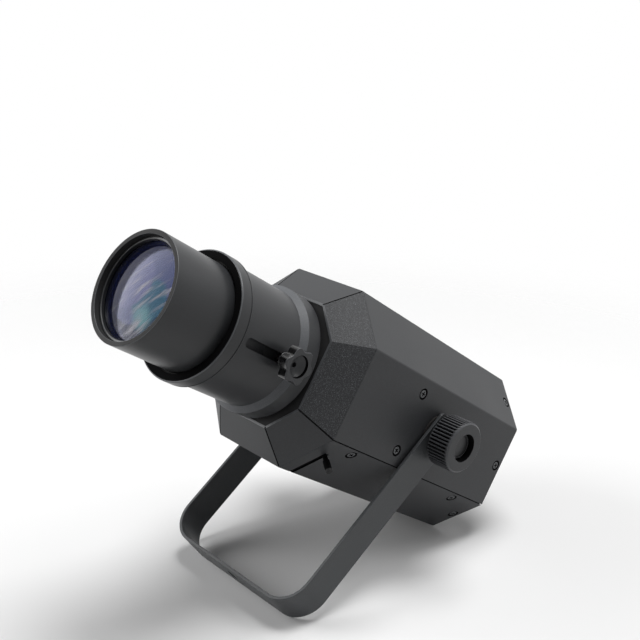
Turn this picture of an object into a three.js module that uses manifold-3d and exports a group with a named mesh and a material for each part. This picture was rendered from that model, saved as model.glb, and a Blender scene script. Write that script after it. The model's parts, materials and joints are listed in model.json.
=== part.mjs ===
// Profile spotlight with an octagonal housing, a sliding lens tube and a tilting yoke.
//
// Millimetres, +Z up. Each piece is drawn in the housing's own frame: X to the right as seen from
// the lens, Y along the optical axis from the lens to the rear, Z up from the optical axis. The
// origin of that frame is where the optical axis meets the shoulder, the front edge of the cover.
// The finished spotlight stands on the crossbar of its yoke and on the rear edge of its tray.

import * as THREE from 'three';
import { mergeVertices } from 'three/addons/utils/BufferGeometryUtils.js';
import Module from 'manifold-3d';

const wasm = await Module();
wasm.setup();

// Fits and tessellation
const seatGap = 0.3;          // left between pieces that touch
const slideGap = 0.4;         // around the tube that slides in the sleeve
const overrun = 2;            // how far a cutting tool runs past what it cuts
const weldDistance = 0.0001;
const barrelSides = 48;
const knobSides = 32;
const boltSides = 16;
const screwSides = 12;
const pointsPerRidge = 2;
const bendSides = 6;

// Housing
const bodyWidth = 170;        // across the flats, both ways
const bodyLength = 255;
const bodyChamferShare = 0.25; // leg of each long chamfer, of the width
const sheet = 1.5;
const seamGap = 1.2;          // shows between the cover and the tray
const lapWidth = 17;          // cover's lip behind the tray's chamfer
const lapFront = 28;
const lapRearGap = 3;         // ahead of the rear panel's rim

// Nose
const noseDepth = 26.5;
const noseMargin = 0.4;       // round the barrel's flange
const noseChamferShare = 0.4576; // leg of each chamfer, of half the nose
const noseRimDepth = 10;      // rim that the cover is pushed over
const plateThickness = 2;
const plateRecess = 0.8;

// Lens barrel
const tubeRadius = 48;
const tubeWall = 2.6;
const tubeLength = 150;
const tubeBehindStud = 24;     // from the focus stud to the rear end of the tube
const hoodWall = 4;           // thicker wall round the lens
const hoodDepth = 13;
const lensLipWidth = 2.6;
const lensLipDepth = 4;
const sleeveWall = 5.4;
const collarFront = 129;
const collarLength = 12.6;
const collarHeight = 3.4;     // stands out of the sleeve
const collarMouth = 1.2;      // wider bore at the front edge
const collarMouthDepth = 4;
const collarLineBehind = 10.4; // of the line round the collar, behind its front edge
const collarLineWidth = 1.3;
const collarLineDepth = 1;
const stepFront = 52.5;       // where the sleeve starts to widen
const stepLength = 5.8;
const stepHeight = 4.8;
const flangeRear = 31.2;
const neckWall = 3.6;
const neckRear = 15;          // ahead of the shoulder

// Front lens and its ring
const lensEdge = 3.5;
const lensBulge = 6;
const lensArcSteps = 5;
const lensRingWidth = 2.2;
const lensRingDepth = 3.4;

// Focus slot and star knob
const focusSlotFront = 110;   // ahead of the shoulder
const focusSlotWidth = 8.5;
const focusStudAhead = 64;    // stud centre at rest, ahead of the shoulder
const focusStudRadius = 3;
const focusStudGrip = 6;      // how deep the stud sits in the knob
const starHubRadius = 7;
const starRise = 9.8;         // underside of the lobes above the sleeve
const starThickness = 9.7;
const starLobeRadius = 14.4;
const starLobeDepth = 1.6;
const starLobes = 6;
const starSteps = 60;
const starDishRadius = 9.6;
const starDishDepth = 2.3;

// Gate and iris
const gateFront = 21;         // behind the shoulder
const gateThickness = 2;
const gateRadius = 22;
const cageWall = 2;
const cageOuterRadius = 44;
const cageFace = 1.5;
const cageFront = 6.5;
const bladeCount = 6;
const bladeThickness = 0.5;
const bladePitch = 0.95;
const bladeInnerRadius = 23.2;
const bladeOuterRadius = 30;
const bladeSpan = 150;        // degrees
const bladeSteps = 14;
const bladePinCircle = 34;
const bladePinRadius = 1.2;
const bladePadRadius = 3.4;
const irisRingInner = 25;
const irisRingThickness = 2.4;
const irisRingSetback = 5.1;  // its middle, ahead of the gate plate
const leverStemRadius = 1.4;
const leverGripRadius = 2.8;
const leverGripLift = 5.64;   // above the tray's chamfer
const leverGripLength = 12.2;
const leverAngle = -40;       // degrees, from the right towards the top
const leverSwing = 42;
const leverClearance = 0.7;
const slitWidth = 5;

// Light engine
const bracketFront = 74;      // behind the shoulder
const bracketRear = 165;
const bracketInset = 6.5;     // from the long chamfers
const bracketSheet = 2;
const bracketWindow = 24;
const bossRadius = 8;
const bossLength = 10;
const boardRadius = 22;
const boardThickness = 2;
const emitterRadius = 9;
const emitterHeight = 1.6;
const reflectorWall = 1.4;
const reflectorMouth = 40;    // behind the shoulder
const reflectorHalfLength = 44;
const reflectorHalfWidth = 33;
const reflectorCentre = 47;
const reflectorFlange = 38;
const reflectorSteps = 5;
const sinkWidthShare = 1.0824; // of half the housing's width
const sinkHeightShare = 0.9882;
const sinkBase = 8;
const finCount = 12;
const finThickness = 1.8;
const finLength = 62;
const fanInset = 2;           // from the edges of the heat sink's height
const fanDepth = 20;
const fanWall = 3;            // least wall round the bore
const fanCorner = 4;
const fanHubRadius = 15;
const fanShaftRadius = 1.5;
const fanStrutWidth = 4;
const fanStrutDepth = 2.5;
const fanBladeCount = 7;
const fanBladeThickness = 1.6;
const fanBladeChord = 14;
const fanBladePitch = 38;     // degrees
const fanTipGap = 1.5;

// Power supply
const supplyFront = 110;
const supplyRearGap = 14;     // ahead of the rear panel's rim
const supplyHeadroom = 8.2;   // under the heat sink
const supplyMargin = 2.4;     // beside the tray's chamfers
const supplyFootHeight = 3.2;
const supplyFootRadius = 3;
const supplyFootInset = 8;

// Rear panel and what is on it. Places on it are shares of half the housing's width
const panelRimDepth = 16;
const displayWidth = 42;
const displayHeight = 18;
const displayFrame = 3;
const displayUpShare = 0.5765;
const displayGlass = 1.2;
const boardWidth = 80;
const controlUpShare = 0.4706;
const controlHeight = 50;
const controlThickness = 1.6;
const controlGap = 13;        // from the panel to the control board
const standoffRadius = 2.5;
const standoffInset = 4;
const buttonRadius = 4;
const buttonRise = 1.8;
const buttonReach = 9;        // behind the panel
const buttonUpShare = 0.3059;
const buttonPitch = 16;
const buttonCount = 4;
const socketDownShare = 0.1412;
const socketFlange = 2;
const dataAsideShare = 0.6588;
const dataFlangeWidth = 26;
const dataFlangeHeight = 31;
const dataBarrelRadius = 11.5;
const dataDepth = 22;
const dataCavityRadius = 9.4;
const dataCavityDepth = 16;
const dataPinRadius = 1.2;
const dataPinLength = 10;
const dataPinCircle = 4.5;
const dataHoleDepth = 10;
const powerAsideShare = 0.2588;
const powerFlangeWidth = 29;
const powerFlangeHeight = 27;
const powerBlockWidth = 25;
const powerBlockHeight = 18;
const powerDepth = 24;
const powerCavityWidth = 21;
const powerCavityHeight = 14;
const powerCavityDepth = 17;
const powerBladeWidth = 2;
const powerBladeHeight = 4;
const powerBladeLength = 11;
const powerBladePitch = 6.5;
const powerHoleDepth = 12;
const panelVentWidth = 80;
const panelVentHeight = 3.4;
const panelVentPitch = 7;
const panelVentCount = 6;
const panelVentDownShare = 0.8353;
const trayVentWidth = 50;
const trayVentLength = 3.4;
const trayVentPitch = 8;
const trayVentCount = 7;
const trayVentFront = 44;
const eyeUpShare = 0.8353;
const eyePlateWidth = 20;
const eyePlateHeight = 15;
const eyePlateThickness = 2;
const eyeReach = 15;
const eyeBar = 4;
const eyeThickness = 5;

// Yoke
const pivotBehind = 129.5;    // behind the shoulder
const yokeRoom = 2;           // between the housing and the yoke
const yokeBar = 3;
const yokeBarWidth = 35;
const yokeDrop = 214;         // from the pivot to the underside of the crossbar
const yokeBend = 30;
const yokeArmRise = 18;       // above the pivot
const yokeArmCorner = 6;
const yokeLean = 21.2;        // degrees, forward of the housing's own down
const yokeHoleRadius = 6.5;

// Clamp knobs and pivot bolts
const boltRadius = 4;
const boltHeadRadius = 11.3;
const boltHeadLength = 3.7;
const boltHeadEdge = 0.8;     // chamfer round the head
const boltTail = 2;           // past the nut boss
const washerRadius = 20;
const knobRadius = 24.7;
const knobHubRadius = 16;
const knobHubLength = 6;
const knobGripLength = 20.6;
const knobRimLength = 3.1;
const knobRimBevel = 1.4;
const knobRidgeDepth = 1.3;
const knobRidgeCount = 46;
const knobRecessRadius = 13.3;
const knobRecessDepth = 12;

// Countersunk screws
const screwHeadRadius = 3.7;
const screwShankRadius = 2;
const screwLength = 8;
const screwRim = 0.5;         // dark ring round the head
const sideScrewBehind = 85.3;
const sideScrewInset = 14.3;  // from the long chamfers
const rearScrewInset = 8;     // from the rear edge
const lapScrewInset = 8.6;    // from the seam, across the tray's chamfer
const lapScrewFront = 36.8;
const lapScrewRearInset = 27.7; // from the rear end of the cover's lip

// Sizes that follow from those above
const bodyHalf = bodyWidth / 2;
const bodyChamfer = bodyWidth * bodyChamferShare;
const bodyFlat = bodyHalf - bodyChamfer;
const chamferReach = (bodyHalf + bodyFlat) * Math.SQRT1_2; // from the optical axis
const insideHalf = bodyHalf - sheet;
const lining = sheet + seatGap;               // depth of what lines the covers
const liningHalf = bodyHalf - lining;
const sleeveBore = tubeRadius + slideGap;
const sleeveRadius = sleeveBore + sleeveWall;
const collarRadius = sleeveRadius + collarHeight;
const flangeRadius = sleeveRadius + stepHeight;
const noseHalf = flangeRadius + noseMargin;
const noseChamfer = noseHalf * noseChamferShare;
const neckRadius = sleeveBore + neckWall;
const tubeFront = focusStudAhead - tubeBehindStud + tubeLength; // ahead of the shoulder
const tubeBore = tubeRadius - tubeWall;
const hoodBore = tubeRadius - hoodWall;
const lensLipRadius = hoodBore - lensLipWidth;
const lensRadius = hoodBore - seatGap;
const lensBack = -tubeFront + hoodDepth - seatGap;
const lensFront = lensBack - lensEdge;
const starUnderside = sleeveRadius + starRise;
const starFace = starUnderside + starThickness;
const irisMiddle = gateFront - irisRingSetback;
const irisRingOuter = cageOuterRadius - cageWall - seatGap;
const leverGripStart = chamferReach + leverGripLift;
const leverTip = leverGripStart + leverGripLength;
const leverRest = THREE.MathUtils.degToRad(leverAngle);
const leverTravel = THREE.MathUtils.degToRad(leverSwing);
const bracketHalfHeight = bodyFlat - bracketInset;
const bracketOuter = liningHalf;
const bracketInner = bracketOuter - bracketSheet;
const engineFace = bracketFront + bracketSheet;
const sinkWidth = bodyHalf * sinkWidthShare;
const sinkHeight = bodyHalf * sinkHeightShare;
const sinkFront = engineFace + seatGap;
const sinkRear = sinkFront + sinkBase + finLength;
const fanWidth = sinkHeight - fanInset * 2;
const fanBore = fanWidth / 2 - fanWall;
const fanFront = sinkRear + seatGap;
const fanRear = fanFront + fanDepth;
const panelRimFront = bodyLength - panelRimDepth;
const lapRear = panelRimFront - lapRearGap;
const panelFace = bodyLength;
const panelBack = panelFace - sheet;
const onPanel = panelFace + seatGap;
const displayUp = bodyHalf * displayUpShare;
const controlUp = bodyHalf * controlUpShare;
const buttonUp = bodyHalf * buttonUpShare;
const socketUp = -bodyHalf * socketDownShare;
const dataAside = bodyHalf * dataAsideShare;
const powerAside = bodyHalf * powerAsideShare;
const panelVentUp = -bodyHalf * panelVentDownShare;
const eyeUp = bodyHalf * eyeUpShare;
const yokeInnerHalf = bodyHalf + yokeRoom;
const yokeOuterHalf = yokeInnerHalf + yokeBar;
const knobBack = yokeOuterHalf + seatGap;
const knobGripStart = knobBack + knobHubLength;
const knobRimStart = knobGripStart + knobGripLength;
const knobFace = knobRimStart + knobRimLength;
const boltSeat = knobFace - knobRecessDepth + seatGap;
const boltEnd = bracketInner - bossLength - boltTail;
const lean = THREE.MathUtils.degToRad(yokeLean);

// Outlines of points, and shapes drawn in them
const outline = (points) => new THREE.Shape(points.map(([a, b]) => new THREE.Vector2(a, b)));

function rectangle(fromA, toA, fromB, toB) {
  return outline([[fromA, fromB], [toA, fromB], [toA, toB], [fromA, toB]]);
}

// Leg of a chamfer after its octagon is inset by a depth
const insetLeg = (leg, depth) => leg - depth * (2 - Math.SQRT2);

function octagon(half, leg) {
  const flat = half - leg;
  return [
    [half, -flat], [half, flat], [flat, half], [-flat, half],
    [-half, flat], [-half, -flat], [-flat, -half], [flat, -half],
  ];
}

const insetOctagon = (depth) => octagon(bodyHalf - depth, insetLeg(bodyChamfer, depth));

// Arc as a list of points, angles in radians
function arc(radius, from, to, steps, centreA = 0, centreB = 0) {
  const points = [];
  for (let i = 0; i <= steps; i += 1) {
    const angle = from + ((to - from) * i) / steps;
    points.push([centreA + radius * Math.cos(angle), centreB + radius * Math.sin(angle)]);
  }
  return points;
}

// Merges shared corners, drops flat faces and turns every face outwards
function welded(geometry) {
  const bare = geometry.clone();
  bare.deleteAttribute('normal');
  bare.deleteAttribute('uv');
  const merged = mergeVertices(bare, weldDistance);
  const index = merged.index.array;
  const place = merged.attributes.position;
  const kept = [];
  const corners = [new THREE.Vector3(), new THREE.Vector3(), new THREE.Vector3()];
  let volume = 0;
  for (let i = 0; i < index.length; i += 3) {
    const [a, b, c] = [index[i], index[i + 1], index[i + 2]];
    if (a === b || b === c || c === a) continue;
    kept.push(a, b, c);
    [a, b, c].forEach((corner, j) => corners[j].fromBufferAttribute(place, corner));
    volume += corners[0].dot(corners[1].cross(corners[2]));
  }
  if (volume < 0) kept.reverse();
  merged.setIndex(kept);
  merged.computeVertexNormals();
  return merged;
}

function toSolid(geometry) {
  const shell = welded(geometry);
  const vertProperties = new Float32Array(shell.attributes.position.array);
  const triVerts = new Uint32Array(shell.index.array);
  return new wasm.Manifold(new wasm.Mesh({ numProp: 3, vertProperties, triVerts }));
}

function fromSolid(solid) {
  const { vertProperties, triVerts } = solid.getMesh();
  const geometry = new THREE.BufferGeometry();
  geometry.setAttribute('position', new THREE.BufferAttribute(vertProperties, 3));
  geometry.setIndex(new THREE.BufferAttribute(triVerts, 1));
  geometry.computeVertexNormals();
  return geometry;
}

const cut = (base, ...tools) => fromSolid(
  tools.flat().reduce((solid, tool) => solid.subtract(toSolid(tool)), toSolid(base)),
);
const join = (base, ...extras) => fromSolid(
  extras.flat().reduce((solid, extra) => solid.add(toSolid(extra)), toSolid(base)),
);

// Extrusions. Outlines are (x, z) along Y, (y, z) along X and (x, y) along Z
function extruded(shape, depth) {
  return new THREE.ExtrudeGeometry(shape, { depth, bevelEnabled: false, curveSegments: bendSides });
}

function alongY(shape, from, to) {
  return extruded(shape, to - from).rotateX(Math.PI / 2).translate(0, to, 0);
}

const yzPlane = new THREE.Matrix4().set(0, 0, 1, 0, 1, 0, 0, 0, 0, 1, 0, 0, 0, 0, 0, 1);

function alongX(shape, from, to) {
  return extruded(shape, to - from).applyMatrix4(yzPlane).translate(from, 0, 0);
}

function alongZ(shape, from, to) {
  return extruded(shape, to - from).translate(0, 0, from);
}

function block(fromX, toX, fromY, toY, fromZ, toZ) {
  const box = new THREE.BoxGeometry(toX - fromX, toY - fromY, toZ - fromZ);
  return box.translate((fromX + toX) / 2, (fromY + toY) / 2, (fromZ + toZ) / 2);
}

function rodY(radius, from, to, x = 0, z = 0, sides = boltSides) {
  return new THREE.CylinderGeometry(radius, radius, to - from, sides).translate(x, (from + to) / 2, z);
}

function rodX(radius, from, to, y = 0, z = 0, sides = boltSides) {
  const rod = new THREE.CylinderGeometry(radius, radius, to - from, sides).rotateZ(Math.PI / 2);
  return rod.translate((from + to) / 2, y, z);
}

function rodZ(radius, from, to, x, y, sides = boltSides) {
  const rod = new THREE.CylinderGeometry(radius, radius, to - from, sides).rotateX(Math.PI / 2);
  return rod.translate(x, y, (from + to) / 2);
}

// Turned about the optical axis from points of radius and place along Y, first point repeated
function turned(profile, sides = barrelSides) {
  const closed = [...profile, profile[0]];
  const points = closed.map(([radius, along]) => new THREE.Vector2(radius, along));
  return welded(new THREE.LatheGeometry(points, sides));
}

const ring = (inner, outer, from, to, sides = barrelSides) => turned(
  [[inner, from], [outer, from], [outer, to], [inner, to]],
  sides,
);

// Skin over a closed loop of octagons, each with a half width, a leg and a place along Y
function lofted(sections) {
  const positions = [];
  const index = [];
  sections.forEach(({ half, leg, along }) => {
    octagon(half, leg).forEach(([x, z]) => positions.push(x, along, z));
  });
  const corners = positions.length / sections.length / 3;
  sections.forEach((section, i) => {
    const next = (i + 1) % sections.length;
    for (let j = 0; j < corners; j += 1) {
      const k = (j + 1) % corners;
      const [a, b] = [i * corners + j, i * corners + k];
      const [c, d] = [next * corners + k, next * corners + j];
      index.push(a, b, c, a, c, d);
    }
  });
  const geometry = new THREE.BufferGeometry();
  geometry.setAttribute('position', new THREE.Float32BufferAttribute(positions, 3));
  geometry.setIndex(index);
  return welded(geometry);
}

// Countersunk screws: where each one sits on the covers and which way it faces
const diagonal = Math.SQRT1_2;
const chamferMiddle = bodyHalf - bodyChamfer / 2;
const lapScrewIn = lapScrewInset * diagonal;
const rearScrewBehind = bodyLength - rearScrewInset;
const sideScrewUp = bodyFlat - sideScrewInset;
const lapScrewRear = lapRear - lapScrewRearInset;

function screwPlaces() {
  const places = [];
  for (const [side, word] of [[1, 'right'], [-1, 'left']]) {
    const outward = [side, 0, 0];
    const upward = [side * diagonal, 0, diagonal];
    const downward = [side * diagonal, 0, -diagonal];
    const lapX = side * (bodyHalf - lapScrewIn);
    const lapZ = -bodyFlat - lapScrewIn;
    const sideX = side * bodyHalf;
    const bevelX = side * chamferMiddle;
    const screw = (place, at, facing) => places.push({ name: `screw_${place}_${word}`, at, facing });
    screw('side_upper', [sideX, sideScrewBehind, sideScrewUp], outward);
    screw('side_lower', [sideX, sideScrewBehind, -sideScrewUp], outward);
    screw('side_rear', [sideX, rearScrewBehind, 0], outward);
    screw('top_rear', [bevelX, rearScrewBehind, chamferMiddle], upward);
    screw('tray_rear', [bevelX, rearScrewBehind, -chamferMiddle], downward);
    screw('lap_front', [lapX, lapScrewFront, lapZ], downward);
    screw('lap_rear', [lapX, lapScrewRear, lapZ], downward);
  }
  return places;
}

// Turned upright with its face at the origin, facing +Y
function screwBody(grow, rise, tail) {
  const points = [
    [0, rise], [screwHeadRadius + grow, rise], [screwHeadRadius + grow, 0],
    [screwShankRadius + Math.min(grow, seatGap), -sheet],
    [screwShankRadius + Math.min(grow, seatGap), -tail], [0, -tail],
  ];
  const profile = points.filter((point, i) => rise > 0 || i !== 1);
  const vectors = profile.map(([radius, along]) => new THREE.Vector2(radius, along));
  return welded(new THREE.LatheGeometry(vectors, screwSides));
}

function turnedTo(geometry, { at, facing }) {
  const turn = new THREE.Quaternion();
  turn.setFromUnitVectors(new THREE.Vector3(0, 1, 0), new THREE.Vector3(...facing));
  return geometry.applyQuaternion(turn).translate(...at);
}

const screwHoles = screwPlaces().map(
  (place) => turnedTo(screwBody(screwRim, overrun, screwLength + overrun), place),
);
const drilled = (geometry) => cut(geometry, screwHoles);

function pivotHole(from, to) {
  return rodX(boltRadius + seatGap, from, to, pivotBehind, 0);
}

// Cover: both sides, both upper chamfers and the top in one bent sheet, with a lip at each seam
function upperCover() {
  const inner = octagon(insideHalf, insetLeg(bodyChamfer, sheet));
  const outer = octagon(bodyHalf, bodyChamfer);
  const lower = -bodyFlat + seamGap / 2;
  const bent = outline([
    [bodyHalf, lower], ...outer.slice(1, 5), [-bodyHalf, lower],
    [-insideHalf, lower], ...inner.slice(1, 5).reverse(), [insideHalf, lower],
  ]);
  const lips = [1, -1].map((side) => alongY(coverLip(side, lower), lapFront, lapRear));
  const shell = join(alongY(bent, 0, bodyLength), lips);
  return drilled(cut(shell, pivotHole(-bodyHalf - overrun, bodyHalf + overrun)));
}

// Lip parallel to the tray's chamfer, on its inside
function coverLip(side, lower) {
  const sum = bodyHalf + bodyFlat;
  const near = sum - lining * Math.SQRT2;
  const far = sum - (lining + sheet) * Math.SQRT2;
  const reach = lapWidth * diagonal;
  const end = near - insideHalf + reach;
  return outline([
    [side * bodyHalf, lower + sheet], [side * bodyHalf, lower], [side * (near + lower), lower],
    [side * (near - end), -end], [side * (far - end + sheet * diagonal), -end + sheet * diagonal],
    [side * insideHalf, insideHalf - far],
    [side * insideHalf, insideHalf - far + sheet],
  ]);
}

// Tray: bottom and both lower chamfers, with the slit for the iris lever and the air inlets
function lowerTray() {
  const outer = octagon(bodyHalf, bodyChamfer);
  const inner = octagon(insideHalf, insetLeg(bodyChamfer, sheet));
  const edge = (seamGap / 2) * diagonal;
  const top = -bodyFlat - edge;
  const insideTop = bodyHalf + bodyFlat - sheet * Math.SQRT2 + top;
  const bent = outline([
    [-bodyHalf + edge, top], outer[6], outer[7], [bodyHalf - edge, top],
    [insideTop, top], inner[7], inner[6], [-insideTop, top],
  ]);
  const vents = [];
  for (let i = 0; i < trayVentCount; i += 1) {
    const front = trayVentFront + i * trayVentPitch;
    vents.push(block(
      -trayVentWidth / 2, trayVentWidth / 2, front, front + trayVentLength,
      -bodyHalf - overrun, -insideHalf + overrun,
    ));
  }
  return drilled(cut(alongY(bent, 0, bodyLength), leverSector(bodyHalf, slitWidth), vents));
}

// Sector swept by the iris lever outside a radius, with room beside the stem
function leverSector(radius, width) {
  const margin = (leverStemRadius + leverClearance) / radius;
  const from = leverRest + margin;
  const to = leverRest - leverTravel - margin;
  const inside = radius - cageWall - overrun;
  const outside = radius * Math.SQRT2;
  const points = [
    ...arc(outside, from, to, bendSides), ...arc(inside, to, from, bendSides),
  ];
  return alongY(outline(points), irisMiddle - width / 2, irisMiddle + width / 2);
}

// Nose: eight sloping facets and the rim that the cover and the tray are pushed over
function noseCone() {
  const slopedWall = sheet * Math.SQRT2;
  const rimInside = lining + sheet;
  return lofted([
    { half: bodyHalf, leg: bodyChamfer, along: -seatGap },
    { half: noseHalf, leg: noseChamfer, along: -noseDepth },
    { half: noseHalf - slopedWall, leg: insetLeg(noseChamfer, slopedWall), along: -noseDepth },
    { half: bodyHalf - rimInside, leg: insetLeg(bodyChamfer, rimInside), along: -seatGap },
    { half: bodyHalf - rimInside, leg: insetLeg(bodyChamfer, rimInside), along: noseRimDepth },
    { half: bodyHalf - lining, leg: insetLeg(bodyChamfer, lining), along: noseRimDepth },
    { half: bodyHalf - lining, leg: insetLeg(bodyChamfer, lining), along: -seatGap },
  ]);
}

function frontPlate() {
  const inset = (sheet + seatGap) * Math.SQRT2 - plateRecess;
  const shape = outline(octagon(noseHalf - inset, insetLeg(noseChamfer, inset)));
  const face = -noseDepth + plateRecess;
  const plate = alongY(shape, face, face + plateThickness);
  const hole = rodY(
    neckRadius + seatGap, face - overrun, face + plateThickness + overrun, 0, 0, barrelSides,
  );
  return cut(plate, hole);
}

// Fixed sleeve of the barrel, with collar, step, flange and the focus slot
function lensSleeve() {
  const mouth = sleeveBore + collarMouth;
  const line = -collarFront + collarLineBehind;
  const body = turned([
    [mouth, -collarFront], [collarRadius, -collarFront], [collarRadius, line],
    [collarRadius - collarLineDepth, line],
    [collarRadius - collarLineDepth, line + collarLineWidth], [collarRadius, line + collarLineWidth],
    [collarRadius, -collarFront + collarLength], [sleeveRadius, -collarFront + collarLength],
    [sleeveRadius, -stepFront], [flangeRadius, -stepFront + stepLength],
    [flangeRadius, -flangeRear], [neckRadius, -flangeRear], [neckRadius, -neckRear],
    [sleeveBore, -neckRear], [sleeveBore, -collarFront + collarMouthDepth],
    [mouth, -collarFront + collarMouthDepth],
  ]);
  const half = focusSlotWidth / 2;
  const slot = outline([
    ...arc(half, -Math.PI / 2, Math.PI / 2, bendSides, -focusStudAhead),
    ...arc(half, Math.PI / 2, Math.PI * 1.5, bendSides, -focusSlotFront + half),
  ]);
  return cut(body, alongX(slot, tubeBore, flangeRadius + overrun));
}

// Sliding tube, with a thicker hood and a lip behind the lens
function lensTube() {
  const front = -tubeFront;
  const seat = front + hoodDepth;
  const body = turned([
    [hoodBore, front], [tubeRadius, front], [tubeRadius, front + tubeLength],
    [tubeBore, front + tubeLength], [tubeBore, seat + lensLipDepth],
    [lensLipRadius, seat + lensLipDepth], [lensLipRadius, seat], [hoodBore, seat],
  ]);
  const hole = focusStudRadius + seatGap;
  return cut(body, rodX(hole, tubeBore - overrun, tubeRadius + overrun, -focusStudAhead));
}

// Plano-convex front lens, its curved face ahead
function frontLens() {
  const bow = (lensRadius * lensRadius + lensBulge * lensBulge) / (2 * lensBulge);
  const edgeAngle = Math.asin(lensRadius / bow);
  const face = [];
  for (let i = 0; i <= lensArcSteps; i += 1) {
    const angle = (edgeAngle * i) / lensArcSteps;
    face.push([bow * Math.sin(angle), lensFront - lensBulge + bow * (1 - Math.cos(angle))]);
  }
  const profile = [...face, [lensRadius, lensBack], [0, lensBack]];
  const points = profile.map(([radius, along]) => new THREE.Vector2(radius, along));
  return welded(new THREE.LatheGeometry(points, barrelSides));
}

function lensRing() {
  const inner = lensRadius - lensRingWidth;
  const bow = (lensRadius * lensRadius + lensBulge * lensBulge) / (2 * lensBulge);
  const drop = bow - Math.sqrt(bow * bow - inner * inner);
  const rear = lensFront - lensBulge + drop - seatGap;
  return ring(inner, lensRadius, rear - lensRingDepth, rear);
}

// Star knob on the focus stud, drawn along X
function starKnob() {
  const lobes = [];
  for (let i = 0; i < starSteps; i += 1) {
    const angle = (Math.PI * 2 * i) / starSteps;
    const radius = starLobeRadius + starLobeDepth * Math.cos(starLobes * angle);
    lobes.push([-focusStudAhead + radius * Math.cos(angle), radius * Math.sin(angle)]);
  }
  const body = alongX(outline(lobes), starUnderside, starFace);
  const hub = rodX(starHubRadius, sleeveRadius + seatGap, starUnderside + seatGap, -focusStudAhead);
  const dish = rodX(starDishRadius, starFace - starDishDepth, starFace + overrun, -focusStudAhead);
  const bore = rodX(
    focusStudRadius + seatGap, sleeveRadius - overrun,
    starUnderside + focusStudGrip + seatGap, -focusStudAhead,
  );
  return cut(join(body, hub), dish, bore);
}

function focusStud() {
  return rodX(focusStudRadius, tubeBore, starUnderside + focusStudGrip, -focusStudAhead);
}

function gatePlate() {
  const plate = alongY(outline(insetOctagon(lining)), gateFront, gateFront + gateThickness);
  const rear = gateFront + gateThickness + overrun;
  return cut(plate, rodY(gateRadius, gateFront - overrun, rear, 0, 0, knobSides));
}

// Iris cage: a face with one pin for each blade, and a wall with the lever's slot
function irisCage() {
  const inside = cageOuterRadius - cageWall;
  const face = cageFront + cageFace;
  const cup = turned([
    [bladeInnerRadius, cageFront], [cageOuterRadius, cageFront],
    [cageOuterRadius, gateFront - seatGap], [inside, gateFront - seatGap],
    [inside, face], [bladeInnerRadius, face],
  ]);
  const pins = bladeAngles().map((angle) => rodY(
    bladePinRadius, face - cageFace / 2, face + seatGap + bladeCount * bladePitch,
    bladePinCircle * Math.cos(angle), bladePinCircle * Math.sin(angle), screwSides,
  ));
  const slot = leverSector(cageOuterRadius, leverStemRadius * 2 + leverClearance);
  return cut(join(cup, pins), slot);
}

function bladeAngles() {
  return Array.from({ length: bladeCount }, (none, i) => (Math.PI * 2 * i) / bladeCount);
}

// One crescent with its pad at the pin, each in a layer of its own
function irisBlade(layer, angle) {
  const span = THREE.MathUtils.degToRad(bladeSpan);
  const start = angle - bladePadRadius / bladePinCircle;
  const end = angle + span;
  const crescent = outline([
    ...arc(bladeOuterRadius, start, end, bladeSteps),
    ...arc(bladeInnerRadius, end, start, bladeSteps),
  ]);
  const front = cageFront + cageFace + seatGap + layer * bladePitch;
  const rear = front + bladeThickness;
  const x = bladePinCircle * Math.cos(angle);
  const z = bladePinCircle * Math.sin(angle);
  const pad = rodY(bladePadRadius, front, rear, x, z, screwSides);
  const hole = rodY(bladePinRadius + seatGap, front - overrun, rear + overrun, x, z, screwSides);
  const web = alongY(bladeWeb(angle), front, rear);
  return cut(join(alongY(crescent, front, rear), web, pad), hole);
}

// Straight piece between a blade's pad and its crescent
function bladeWeb(angle) {
  const inner = (bladeInnerRadius + bladeOuterRadius) / 2;
  const half = bladePadRadius;
  const [along, across] = [[Math.cos(angle), Math.sin(angle)], [-Math.sin(angle), Math.cos(angle)]];
  const corner = (radius, side) => [
    radius * along[0] + side * half * across[0], radius * along[1] + side * half * across[1],
  ];
  return outline([
    corner(inner, -1), corner(bladePinCircle, -1), corner(bladePinCircle, 1), corner(inner, 1),
  ]);
}

// Ring that the lever turns, with the stem and the grip of the lever
function irisRing() {
  const half = irisRingThickness / 2;
  const disc = ring(irisRingInner, irisRingOuter, irisMiddle - half, irisMiddle + half, knobSides);
  const root = irisRingOuter - cageWall;
  const stem = rodX(leverStemRadius, root, leverGripStart + seatGap, 0, 0, screwSides);
  const grip = rodX(leverGripRadius, leverGripStart, leverTip, 0, 0, screwSides);
  const lever = [stem, grip].map((piece) => piece.rotateY(-leverRest).translate(0, irisMiddle, 0));
  return join(disc, lever);
}

// Bracket across the housing that carries the light engine and the nuts of the yoke
function engineBracket() {
  const bent = outline([
    [-bracketOuter, bracketFront], [bracketOuter, bracketFront], [bracketOuter, bracketRear],
    [bracketInner, bracketRear], [bracketInner, engineFace], [-bracketInner, engineFace],
    [-bracketInner, bracketRear], [-bracketOuter, bracketRear],
  ]);
  const frame = alongZ(bent, -bracketHalfHeight, bracketHalfHeight);
  const bosses = [1, -1].map((side) => {
    const [near, far] = [bracketInner - bossLength, bracketInner + bracketSheet / 2];
    const ends = [side * near, side * far].sort((a, b) => a - b);
    return rodX(bossRadius, ends[0], ends[1], pivotBehind);
  });
  const window = rodY(bracketWindow, bracketFront - overrun, engineFace + overrun, 0, 0, knobSides);
  const hole = pivotHole(-bodyHalf - overrun, bodyHalf + overrun);
  return drilled(cut(join(frame, bosses), window, hole));
}

function ledBoard() {
  const rear = engineFace;
  const board = rodY(boardRadius, rear - boardThickness, rear, 0, 0, knobSides);
  const emitter = rodY(
    emitterRadius, rear - boardThickness - emitterHeight, rear - boardThickness / 2, 0, 0, knobSides,
  );
  return join(board, emitter);
}

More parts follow.
